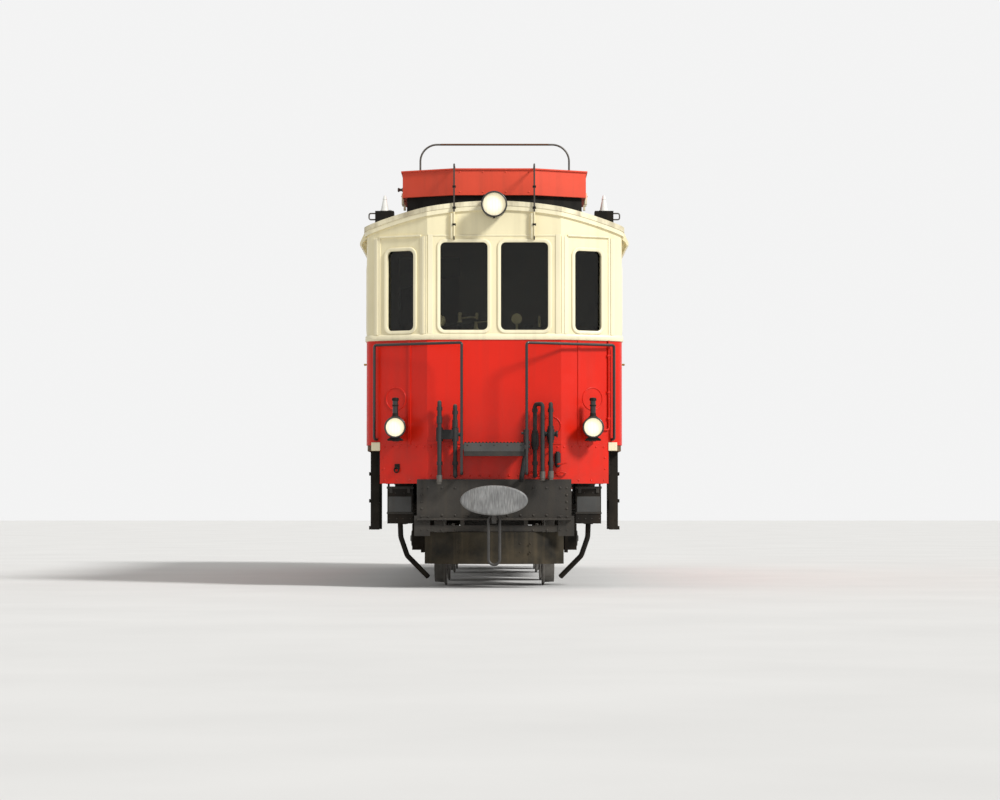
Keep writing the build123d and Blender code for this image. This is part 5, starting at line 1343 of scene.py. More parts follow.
@dataclass
class CabDoors:
    """Belt, frame, handle and kick plate of the four cab doors, which swing with them."""

    low: float = 1.38
    near: float = 3.767
    far: float = 4.383
    window_middle: float = 4.075
    window_width: float = 0.43
    window: Pair = (2.46, 3.08)
    window_corner: float = 0.05
    panel: Pair = (1.62, 2.24)
    pane: Pair = (-0.033, -0.027)
    seat: float = 0.004
    handle_z: float = 2.14

    def build(self) -> None:
        """Make each door's pieces."""
        for end, row in ENDS:
            for side, hand in HANDS:
                self.door(end, side, f"cab_door_{row}_{hand}")

    def door(self, end: int, side: int, body: str) -> None:
        """Dress one door."""
        face = side_face(side)
        cream, red, metal = Forge(f"{body}_cream"), Forge(f"{body}_red"), Forge(f"{body}_handle")
        near, far, middle = (end * value for value in (self.near, self.far, self.window_middle))
        cream.surround(face, middle, self.window_width, self.window, self.window_corner, Walls.frame_section)
        cream.slab(face, (near, far), (BODY.belt_low, BODY.belt_high), (-0.002, 0.012))
        cream.finish(Shade.CREAM, body, slot="livery_paint", bevel=0.002)
        glass, half = Forge(f"{body}_pane"), self.window_width / 2 + self.seat
        low, high = self.window
        glass.slab(face, (middle - half, middle + half), (low - self.seat, high + self.seat), self.pane)
        glass.finish(Shade.GLASS, body)
        red.slab(face, (near, far), (self.low + 0.02, self.low + 0.15), (-0.002, 0.004))
        red.surround(face, middle, 0.4, self.panel, 0.02,
                     ((-0.002, -0.002), (0.0, 0.006), (0.014, 0.008), (0.022, -0.002)))
        red.finish(Shade.RED, body, slot="livery_paint", bevel=0.0015)
        grip, level = far - end * 0.07, self.handle_z
        metal.slab(face, (grip - 0.022, grip + 0.022), (2.02, 2.2), (-0.001, 0.004))
        metal.rod(face.at(grip, level, 0.003), face.at(grip, level, 0.034), 0.009)
        metal.rod(face.at(grip, level, 0.03), face.at(grip - end * 0.11, level, 0.03), 0.007)
        metal.lathe(face.at(grip, 2.06, 0.003), face.out, [(0, 0.009), (0.004, 0.009), (0.005, 0.006)], 14)
        inner = Face(face.origin - face.out * 0.06, face.along, -face.out)
        metal.rod(inner.at(grip, level, -0.001), inner.at(grip, level, 0.03), 0.008)
        metal.rod(inner.at(grip, level, 0.027), inner.at(grip - end * 0.1, level, 0.027), 0.006)
        metal.finish(Shade.BRASS, body, bevel=0.001)


@dataclass
class LuggageDoors:
    """Frames, hangers and handles of the two sliding doors, which slide with them."""

    tools: Repeater
    half: float = 0.79
    low: float = 1.375
    face_x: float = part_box("luggage_door_right")[1].x
    window_runs: Pair = (-0.395, 0.395)
    window_width: float = 0.47
    window: Pair = (2.46, 3.08)
    window_corner: float = 0.05
    frame_section: Outline = (
        (-0.004, -0.003), (-0.004, 0.008), (0.003, 0.011), (0.022, 0.011), (0.028, 0.006), (0.028, -0.003))
    pane: Pair = (-0.022, -0.016)
    seat: float = 0.004
    hanger_runs: Pair = (-0.55, 0.55)

    def build(self) -> None:
        """Make each door's pieces."""
        for side, hand in HANDS:
            self.door(side, f"luggage_door_{hand}")

    def door(self, side: int, body: str) -> None:
        """Dress one door."""
        face = side_face(side, self.face_x - BODY.half_width)
        red, cream, metal = Forge(f"{body}_boards"), Forge(f"{body}_cream"), Forge(f"{body}_gear")
        edge = self.half - 0.012
        for run in ((-edge, -edge + 0.09), (-0.045, 0.045), (edge - 0.09, edge)):
            red.slab(face, run, (self.low, BODY.belt_low), (-0.002, 0.008))
        for level in (self.low, 1.84, BODY.belt_low - 0.09):
            red.slab(face, (-edge + 0.088, edge - 0.088), (level, level + 0.09), (-0.002, 0.0075))
        red.finish(Shade.RED, body, slot="livery_paint", bevel=0.002)
        cream.slab(face, (-edge, edge), (BODY.belt_low, BODY.belt_high), (-0.002, 0.012))
        (low, high), half = self.window, self.window_width / 2 + self.seat
        glass = Forge(f"{body}_panes")
        for middle in self.window_runs:
            glass.slab(face, (middle - half, middle + half), (low - self.seat, high + self.seat), self.pane)
            cream.surround(
                face, middle, self.window_width, self.window, self.window_corner, self.frame_section)
        cream.finish(Shade.CREAM, body, slot="livery_paint", bevel=0.002)
        glass.finish(Shade.GLASS, body)
        for run in self.hanger_runs:
            metal.slab(face, (run - 0.035, run + 0.035), (3.02, 3.2), (-0.001, 0.008))
        metal.slab(face, (0.66, 0.7), (2.02, 2.22), (-0.001, 0.004))
        metal.pipe([face.at(0.68, 2.04, 0.002), face.at(0.68, 2.04, 0.012), face.at(0.68, 2.2, 0.012),
                    face.at(0.68, 2.2, 0.002)], 0.005, bend=0.006)
        metal.finish(Shade.BLACK, body, slot="rail_black", bevel=0.0015)
        spots = [(face.at(run + step, z, 0.008), face.out) for run in self.hanger_runs
                 for step in (-0.02, 0.02) for z in (3.05, 3.11, 3.17)]
        self.tools.bolts(f"{body}_bolts", spots, 0.009, Shade.BLACK, body, slot="rail_black")


@dataclass
class Lamps:
    """Rims, chimney caps and brackets of the lanterns and headlights."""

    tools: Repeater
    lantern_x: float = 0.935
    lantern_z: float = 1.518
    lantern_reach: float = 0.09
    lantern_depth: float = 0.17
    lantern_radius: float = 0.098
    chimney_radius: float = 0.026
    chimney_top: float = 1.796
    headlight_z: float = 3.618
    headlight_radius: float = 0.12

    @property
    def lantern_face(self) -> float:
        """Distance of a lantern's face from the middle of the car."""
        return BODY.half_length + self.lantern_reach

    def build(self) -> None:
        """Make the lamps' pieces."""
        rims, caps, plates, bolts = Forge("lamp_rims"), Forge("lantern_chimneys"), Forge("lamp_brackets"), []
        headlight_face = -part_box("lamps")[0].y
        for end in SIDES:
            out = ALONG * end
            for side in SIDES:
                centre = xyz(side * self.lantern_x, end * self.lantern_face, self.lantern_z)
                self.rim(rims, centre, out, self.lantern_radius)
                self.chimney(caps, centre - out * self.lantern_depth / 2)
                low = centre + xyz(0, -end * 0.012, -self.lantern_radius - 0.012)
                foot = [low + xyz(x, 0, z) for x, z in (
                    (-0.074, -0.016), (0.074, -0.016), (0.074, -0.004), (0.04, 0.018), (-0.04, 0.018),
                    (-0.074, -0.004))]
                plates.prism(foot, -out * 0.115)
                bolts += [(low + xyz(step, 0, -0.006), out) for step in (-0.055, 0.055)]
            centre = xyz(0, end * headlight_face, self.headlight_z)
            self.rim(rims, centre, out, self.headlight_radius)
            for angle in (40, 140, 270):
                turn = radians(angle)
                spot = centre + xyz(cos(turn), 0, sin(turn)) * (self.headlight_radius + 0.004)
                plates.block(spot + xyz(-0.01, 0.003 * end, -0.01), spot + xyz(0.01, -end * 0.03, 0.01))
        rims.finish(Shade.RAIL, smooth=50)
        caps.finish(Shade.BLACK, smooth=50)
        plates.finish(Shade.BLACK, bevel=0.002)
        self.tools.bolts("lamp_bolts", bolts, 0.008, Shade.BLACK)

    def rim(self, forge: Forge, centre: Vector, out: Vector, radius: float) -> None:
        """Put the rolled rim on a lamp's face."""
        forge.lathe(centre - out * 0.004, out,
                    [(0.0, radius + 0.004), (0.0, radius - 0.012), (0.01, radius - 0.012),
                     (0.016, radius - 0.008), (0.016, radius - 0.002), (0.01, radius + 0.004)], 48,
                    hollow=True)

    def chimney(self, forge: Forge, foot: Vector) -> None:
        """Band and cap one chimney, whose slots show dark."""
        size, top = self.chimney_radius, self.chimney_top - foot.z
        profile = [(0.088, size + 0.018), (0.098, size + 0.018), (0.112, size + 0.003), (0.135, size + 0.002)]
        forge.lathe(foot, UP, profile, 28)
        forge.lathe(foot, UP, [(0.2, size + 0.001), (0.202, size + 0.005), (0.214, size + 0.005),
                               (0.216, size + 0.001)], 28)
        forge.lathe(
            foot, UP, [(top - 0.026, size + 0.001), (top - 0.024, size + 0.007), (top - 0.008, size + 0.007),
                       (top + 0.002, size + 0.002), (top + 0.006, 0.008)], 28)


@dataclass
class FrontGear:
    """Teeth of the end step, cocks, joining bar, unions and conduits of the brake pipes."""

    tools: Repeater
    step_half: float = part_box("end_steps")[1].x
    step_face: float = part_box("end_steps")[1].y
    step_top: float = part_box("end_steps")[1].z
    pipe_reach: float = 0.075
    loop_reach: float = 0.17
    left_pipes: tuple = ((-0.515, 1.75), (-0.368, 1.715))
    right_pipes: tuple = ((0.385, 1.735), (0.533, 1.735))
    loose_ends: tuple = ((-0.515, 1.01), (0.455, 1.045), (0.533, 1.05))
    handrail_x: float = 0.3
    tooth_pitch: float = 0.033

    def build(self) -> None:
        """Make the front gear of both ends."""
        pipes, unions, red = Forge("pipe_fittings"), Forge("pipe_unions"), Forge("cock_handles")
        spots = []
        for end in SIDES:
            y = end * (BODY.half_length + self.pipe_reach)
            front_y = end * (BODY.half_length + self.loop_reach)
            self.left_pair(pipes, y, front_y)
            self.right_cocks(pipes, red, y, front_y, end)
            for x, top in self.left_pipes + self.right_pipes:
                for z in (1.16, top - 0.075):
                    pipes.post(x, y, z, z + 0.036, 0.028, 6)
                pipes.rod(xyz(x, y, 1.3), xyz(x, end * (BODY.half_length - 0.002), 1.3), 0.008)
            for x, low in self.loose_ends:
                unions.post(x, front_y, low - 0.012, low + 0.055, 0.0265, 20)
                unions.post(x, front_y, low - 0.03, low - 0.01, 0.022, 6)
            self.conduit(pipes, front_y, end)
            spots += [(xyz(x, end * self.step_face, self.step_top - 0.022), ALONG * end)
                      for x in steps(-0.25, 0.25, 0.125)]
        pipes.finish(Shade.RUBBER, bevel=0.0015, smooth=50)
        unions.finish(Shade.PANTO, slot="black_paint", bevel=0.001, smooth=50)
        red.finish(Shade.RED, bevel=0.0015, smooth=50)
        self.tools.rivets("step_rivets", spots, 0.008, Shade.HEADSTOCK)
        self.teeth()
        self.apron_eyes()

    def left_pair(self, forge: Forge, y: float, front_y: float) -> None:
        """Join the two left standpipes with a cast cock, and sleeve them."""
        (first, _), (second, _) = self.left_pipes
        forge.block((first - 0.026, y - 0.026, 1.405), (second + 0.026, y + 0.026, 1.495))
        forge.rod(xyz(second + 0.02, y, 1.45), xyz(second + 0.075, y, 1.45), 0.018, sides=16)
        for x, top in self.left_pipes:
            forge.post(x, y, 1.385, 1.515, 0.033, 20)
            forge.post(x, front_y, top - 0.2, top - 0.13, 0.027, 20)

    def right_cocks(self, forge: Forge, red: Forge, y: float, front_y: float, end: int) -> None:
        """Put the cocks with their handles on the right-hand pipes."""
        (loop, _), (single, _) = self.right_pipes
        wall = end * (BODY.half_length - 0.002)
        for x, low, high in ((single, 1.4, 1.5), (loop, 1.34, 1.46)):
            forge.post(x, y, low, high, 0.036, 20)
            forge.post(x, y, low - 0.03, high + 0.03, 0.03, 6)
        forge.rod(xyz(single, wall, 1.455), xyz(single, y + end * 0.05, 1.455), 0.028, sides=20)
        forge.rod(xyz(single - 0.062, y, 1.455), xyz(single + 0.058, y, 1.455), 0.022, sides=16)
        for x in (single - 0.068, single + 0.052):
            forge.rod(xyz(x, y, 1.455), xyz(x + 0.016, y, 1.455), 0.036, sides=6)
        low = xyz(0.6, end * (BODY.half_length + 0.03), 1.215)
        forge.rod(low - UP * 0.06, low + UP * 0.06, 0.028, sides=20)
        forge.rod(low - UP * 0.075, low + UP * 0.075, 0.02, sides=6)
        forge.rod(xyz(low.x, wall, low.z), low, 0.022, sides=16)
        handle = low + xyz(0, end * 0.02, -0.045)
        red.pipe([handle, handle + xyz(0.0, end * 0.03, 0), handle + xyz(0.085, end * 0.03, 0.012)], 0.009,
                 bend=0.015)
        for start, length in ((0.585, 0.095), (0.33, 0.08)):
            bar = xyz(start, end * (BODY.half_length + 0.035), 1.085)
            red.pipe([bar + xyz(0, -end * 0.04, 0), bar, bar + xyz(0.04, 0, 0.012), bar + xyz(length, 0, 0),
                      bar + xyz(length, -end * 0.04, 0)], 0.009, bend=0.012)
        rail = xyz(self.handrail_x, front_y, 1.44)
        forge.rod(rail - UP * 0.055, rail + UP * 0.055, 0.026, sides=6)
        forge.rod(rail + UP * 0.02 - ACROSS * 0.045, rail + UP * 0.02, 0.012, sides=12)

    def conduit(self, forge: Forge, y: float, end: int) -> None:
        """Lead the bent conduit from the handrail's foot down behind the headstock."""
        x = self.handrail_x
        points = [(x + 0.004, y, 1.372), (x, y + end * 0.006, 1.29), (x - 0.02, y + end * 0.006, 1.17),
                  (x - 0.04, y - end * 0.015, 1.055), (x - 0.042, end * (BODY.half_length + 0.045), 1.02)]
        forge.pipe(points, 0.024, bend=0.05, sides=14)
        for z in (1.372, 1.335):
            forge.post(x + 0.004, y, z - 0.012, z + 0.012, 0.033, 6)

    def apron_eyes(self) -> None:
        """Hang a small towing eye on each apron."""
        forge = Forge("apron_eyes")
        for end in SIDES:
            face = end_face(end, -1)
            run = (0.925 - BODY.facet) / cos(BODY.slope)
            forge.slab(face, (run - 0.032, run + 0.02), (1.125, 1.175), (-0.002, 0.01))
            forge.ring(face.at(run - 0.004, 1.118, 0.016), face.out, 0.024, 0.007, sides=24)
        forge.finish(Shade.BLACK, bevel=0.002, smooth=50)

    def teeth(self) -> None:
        """Notch the upper edge of the end steps with a row of small teeth."""
        for end, row in ENDS:
            forge = Forge(f"step_teeth_{row}")
            y, start = end * self.step_face, -self.step_half + 0.006
            forge.block((start, y - end * 0.004, self.step_top - 0.002),
                        (start + 0.018, y - end * 0.05, self.step_top + 0.009))
            count = int((2 * self.step_half - 0.03) / self.tooth_pitch) + 1
            self.tools.row(forge, count, xyz(self.tooth_pitch, 0, 0), Shade.BLACK, slack=0.0006)


@dataclass
class Headstock:
    """Rivets, corner bolts, hook plates, step board and buffer details of both ends."""

    tools: Repeater
    half: float = 0.73
    face: float = BODY.half_length + 0.025
    pitch: float = 0.1235
    low_row: float = 0.686
    bar_z: float = 0.545
    corner_face: float = BODY.half_length + 0.035
    hook_half: float = 0.022
    hook_z: float = 0.69
    buffer_z: float = 0.828

    def build(self) -> None:
        """Make the headstocks' pieces."""
        self.rivets()
        self.coupling()
        self.buffer_bolts()
        self.plough_bolts()
        self.step_board()

    def rivets(self) -> None:
        """Rivet the headstocks along their edges, and bolt their corners."""
        plate, corner = [], []
        rows = [step * self.pitch for step in range(5)]
        column = self.half - 0.045
        for end in SIDES:
            out = ALONG * end
            for side in SIDES:
                plate += [(xyz(side * run, end * self.face, self.low_row), out) for run in rows]
                plate += [
                    (xyz(side * run, end * self.face, 0.945), out) for run in rows[3:] + [column - 0.06]]
                plate += [(xyz(side * column, end * self.face, z), out) for z in (0.945, 0.877, 0.813, 0.748)]
                plate += [(xyz(side * run, end * self.face, self.bar_z), out) for run in (0.366, 0.499)]
                corner += [(xyz(side * run, end * self.corner_face, z), out) for run in (0.625, 0.688)
                           for z in (0.672, 0.615, 0.549)]
        self.tools.rivets("headstock_rivets", plate, 0.0125, Shade.HEADSTOCK, rings=6, sides=10)
        self.tools.bolts("corner_bolts", corner, 0.0125, Shade.HEADSTOCK)

    def coupling(self) -> None:
        """Seat the draw hooks in a bolted plate."""
        forge, spots = Forge("hook_plates"), []
        for end in SIDES:
            base = end * (self.face - 0.002)
            for side in SIDES:
                forge.block((side * 0.085, base, self.hook_z - 0.028),
                            (side * self.hook_half, base + end * 0.016, self.hook_z + 0.055))
                spots.append((xyz(side * 0.055, base + end * 0.016, self.hook_z + 0.01), ALONG * end))
        forge.finish(Shade.HEADSTOCK, bevel=0.003)
        self.tools.bolts("hook_bolts", spots, 0.012, Shade.HEADSTOCK)

    def buffer_bolts(self) -> None:
        """Bolt the buffers' feet to the headstocks."""
        spots = [(xyz(side * 0.125, end * (self.face + 0.022), self.buffer_z + z), ALONG * end)
                 for end, side in CORNERS for z in (-0.072, 0.072)]
        self.tools.bolts("buffer_bolts", spots, 0.016, Shade.HEADSTOCK)

    def plough_bolts(self) -> None:
        """Bolt the ploughs to their arms."""
        face_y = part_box("ploughs")[1].y
        spots = [(xyz(side * x, end * (face_y - 0.03), z), ALONG * end)
                 for end, side in CORNERS for x in (0.24, 0.34) for z in (0.42, 0.34)]
        self.tools.rivets("plough_bolts", spots, 0.012, Shade.PLOUGH, rings=4)

    def step_board(self) -> None:
        """Face the end steps with a deep board."""
        forge = Forge("step_boards")
        reach, half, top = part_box("end_steps")[1].y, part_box("end_steps")[1].x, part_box("end_steps")[1].z
        for end in SIDES:
            forge.block(
                (-half, end * (reach - 0.012), top - 0.125), (half, end * (reach - 0.001), top - 0.004))
            for side in SIDES:
                foot = [xyz(side * (half - 0.008), end * y, z) for y, z in (
                    (reach - 0.006, top - 0.12), (reach - 0.006, top - 0.02),
                    (BODY.half_length, top - 0.02), (BODY.half_length, top - 0.07))]
                forge.prism(foot, ACROSS * side * 0.008)
        forge.finish(Shade.HEADSTOCK, bevel=0.002)


@dataclass
class RoofDeck:
    """Seams and rods' hooks on the roof, clamps of the housings, shoulder gear, vents and conductor tube."""

    tools: Repeater
    housing_half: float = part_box("roof_housings")[1].x
    housing_low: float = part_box("roof_housings")[0].z
    housing_high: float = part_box("roof_housings")[1].z
    housing_ends: Pair = (3.5, 4.65)
    insulator_x: float = 1.06
    insulator_y: float = 4.3
    box_half: float = 0.09
    box_top: float = 3.622
    seam_ys: tuple[float, ...] = (-3.2, -1.0, 0.0, 1.05, 2.15, 3.25)
    rod_x: float = 0.38
    vent_x: float = 0.42
    vent_ys: tuple[float, ...] = (-0.6, 0.5, 1.6, 2.7)
    tube_x: float = 0.22

    def build(self) -> None:
        """Make the roof's pieces."""
        self.seams()
        self.housings()
        self.corner_gear()
        self.rod_hooks()
        self.vent_caps()
        self.conductor()

    def seams(self) -> None:
        """Lay the standing seams of the roof sheets."""
        forge = Forge("roof_seams")
        half, radius = asin((BODY.half_width + 0.012) / BODY.roof_radius), BODY.roof_radius
        arc = [half * (step / 16 - 1) for step in range(33)]
        for y in self.seam_ys:
            path = [xyz(radius * sin(a), y, BODY.roof_centre + radius * cos(a)) for a in arc]
            forge.sweep(path, [(-0.016, -0.006), (0.016, -0.006), (0.01, 0.007), (-0.01, 0.007)], side=ALONG)
        forge.finish(Shade.ROOF, bevel=0.002)

    def housings(self) -> None:
        """Rib the roof housings, and clamp their lower corners."""
        ribs, clamps, spots = Forge("housing_ribs"), Forge("housing_clamps"), []
        near, far = self.housing_ends
        for end in SIDES:
            for side in SIDES:
                x = side * (self.housing_half - 0.022)
                for y in steps(near + 0.03, far - 0.35, 0.26):
                    ribs.block((x, end * (y - 0.02), self.housing_low + 0.02),
                               (x + side * 0.008, end * (y + 0.02), self.housing_high - 0.02))
                for y in (near + 0.16, (near + far) / 2, far - 0.42):
                    clamps.block((x, end * (y - 0.022), self.housing_low - 0.05),
                                 (x + side * 0.022, end * (y + 0.022), self.housing_low + 0.06))
                    spots.append((xyz(x + side * 0.022, end * y, self.housing_low + 0.03), ACROSS * side))
            for x in steps(-0.33, 0.33, 0.22):
                spots.append((xyz(x, end * (far - 0.001), self.housing_low + 0.03), ALONG * end))
                spots.append((xyz(x, end * (far - 0.001), self.housing_high - 0.035), ALONG * end))
        ribs.finish(Shade.FADED, bevel=0.002)
        clamps.finish(Shade.CREAM, bevel=0.002)
        self.tools.rivets("housing_bolts", spots, 0.01, Shade.FADED, rings=4)

    def corner_gear(self) -> None:
        """Put the eye, the loop handles and the insulators' clamps on the shoulder boxes of each end."""
        eyes, handles, bolts = Forge("shoulder_eyes"), Forge("shoulder_handles"), []
        for end in SIDES:
            out = ALONG * end
            face_y = end * (self.insulator_y + self.box_half)
            eye = xyz(-self.insulator_x + 0.052, face_y + end * 0.012, self.box_top - 0.03)
            eyes.ring(eye, out, 0.034, 0.007, sides=28)
            eyes.rod(eye - UP * 0.034 - out * 0.016, eye - UP * 0.034, 0.012, sides=12)
            for side in SIDES:
                foot = xyz(side * (self.insulator_x + self.box_half + 0.002), face_y - end * 0.01,
                           self.box_top - 0.082)
                handles.pipe([foot - ACROSS * side * 0.01, foot + ACROSS * side * 0.058,
                              foot + xyz(side * 0.058, 0, 0.06), foot + xyz(-side * 0.01, 0, 0.06)], 0.007,
                             bend=0.018, sides=10)
                centre = xyz(side * self.insulator_x, end * self.insulator_y, self.box_top)
                bolts += [(centre + xyz(x, y, 0), UP) for x in (-0.068, 0.068) for y in (-0.068, 0.068)]
            knob = xyz(
                -self.housing_half + 0.018, end * 4.1, (self.housing_low + self.housing_high) / 2 - 0.02)
            handles.lathe(knob, -ACROSS, [(0.0, 0.024), (0.014, 0.024), (0.02, 0.014), (0.04, 0.013),
                                          (0.046, 0.02), (0.058, 0.02), (0.062, 0.014)], 20)
        eyes.finish(Shade.STEEL, slot="rail_black", smooth=50)
        handles.finish(Shade.PANTO, slot="rail_black", smooth=50)
        self.tools.bolts("shoulder_bolts", bolts, 0.009, Shade.BLACK)

    def rod_hooks(self) -> None:
        """Clip the roof rods to the cornice, sleeve them in front of it, and end them in hooks."""
        clips, sleeves = Forge("rod_clips"), Forge("rod_sleeves")
        low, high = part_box("roof_rods")
        for end, side in CORNERS:
            x, y = side * self.rod_x, end * (high.y - 0.008)
            clips.ring(xyz(x, y - end * 0.012, low.z + 0.02), ACROSS, 0.018, 0.006, sides=20, around=8)
            for z in (3.44, 3.6, 3.8):
                clips.block((x - 0.016, y + end * 0.008, z - 0.01), (x + 0.016, y - end * 0.022, z + 0.01))
            sleeves.lathe(xyz(x - 0.02, y - end * 0.02, low.z + 0.012), UP,
                          [(-0.01, 0.008), (0.0, 0.014), (0.004, 0.016), (0.235, 0.016), (0.24, 0.01)], 20)
        clips.finish(Shade.BLACK, slot="rail_black", bevel=0.0015, smooth=50)
        sleeves.finish(Shade.CREAM, smooth=50)

    def vent_caps(self) -> None:
        """Ring the ventilators."""
        forge = Forge("vent_rings")
        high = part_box("ventilators")[1]
        radius = high.x - self.vent_x
        for y in self.vent_ys:
            for side in SIDES:
                forge.ring(
                    xyz(side * self.vent_x, y, high.z - 0.012), UP, radius - 0.002, 0.006, sides=32, around=6)
        forge.finish(Shade.GREY, smooth=60)

    def conductor(self) -> None:
        """Lead the rigid conductor tube from the pantograph's base along the roof into the rear housing."""
        forge, feet = Forge("roof_conductor"), Forge("roof_conductor_feet")
        x, top = self.tube_x, BODY.roof_z(self.tube_x)
        forge.pipe([(0.3, -1.78, 3.96), (0.26, -1.55, 3.8), (x, -1.35, top + 0.055), (x, 3.38, top + 0.055),
                    (x, 3.515, top + 0.1)], 0.013, bend=0.12)
        for y in steps(-1.2, 3.2, 0.88):
            feet.lathe(xyz(x, y, top - 0.006), UP,
                       [(0, 0.03), (0.012, 0.03), (0.018, 0.018), (0.046, 0.016), (0.056, 0.02)], 20)
        forge.finish(Shade.BLACK, smooth=60)
        feet.finish(Shade.PORCELAIN, smooth=45)


@dataclass
class Pantograph:
    """Contact strip, springs, bolts and knuckle nuts of the folded pantograph."""

    tools: Repeater
    middle_y: float = -2.25
    spring_x: float = 0.24
    spring_z: float = 4.002
    knee_z: float = 4.112
    head_top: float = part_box("panto_head")[1].z

    def build(self) -> None:
        """Make the pantograph's pieces."""
        self.strips()
        self.springs()
        self.base_bolts()
        self.joint_caps()

    def strips(self) -> None:
        """Bolt the contact strip on the bow."""
        forge, spots = Forge("contact_strip"), []
        top, y = self.head_top - 0.001, self.middle_y
        forge.block((-0.56, y - 0.017, top - 0.013), (0.56, y + 0.017, top))
        for side in SIDES:
            spots += [(xyz(x, y + side * 0.017, top - 0.007), ALONG * side) for x in steps(-0.5, 0.5, 0.2)]
        forge.finish(Shade.COPPER, "panto_head", bevel=0.003)
        self.tools.bolts("strip_bolts", spots, 0.005, Shade.PANTO, "panto_head")

    def springs(self) -> None:
        """Stretch the two lifting springs over the base."""
        forge = Forge("panto_springs")
        for side in SIDES:
            start = xyz(side * self.spring_x, self.middle_y - 0.36, self.spring_z)
            turns, length, radius = 26, 0.72, 0.017
            path = []
            for step in range(turns * 12 + 1):
                angle = 2 * pi * step / 12
                run = length * step / (turns * 12)
                path.append(start + xyz(radius * cos(angle), run, radius * sin(angle)))
            forge.pipe(path, 0.0035, sides=6)
            for end_y in (self.middle_y - 0.52, self.middle_y + 0.36):
                hook = xyz(side * self.spring_x, end_y, self.spring_z)
                forge.rod(hook, hook + ALONG * 0.16, 0.006)
        forge.finish(Shade.STEEL, smooth=60)

    def base_bolts(self) -> None:
        """Bolt the base frame to its insulators."""
        spots = []
        low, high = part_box("panto_base")
        for x in (low.x + 0.06, high.x - 0.06):
            for y in steps(low.y + 0.06, high.y - 0.06, 0.2):
                spots.append((xyz(x, y, high.z - 0.03), UP))
        self.tools.bolts("base_bolts", spots, 0.01, Shade.PANTO)

    def joint_caps(self) -> None:
        """Cap the knuckles of the arms with small nuts."""
        for body, side in (("panto_lower_front", -1), ("panto_lower_rear", 1)):
            low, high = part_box(body)
            forge = Forge(f"{body}_nuts")
            knee = xyz(0, low.y + 0.029 if side < 0 else high.y - 0.029, self.knee_z)
            for hand in (-1, 1):
                start = knee + ACROSS * hand * (high.x - 0.004)
                forge.rod(start, start + ACROSS * hand * 0.012, 0.014, sides=6)
            forge.finish(Shade.PANTO, body, bevel=0.001)


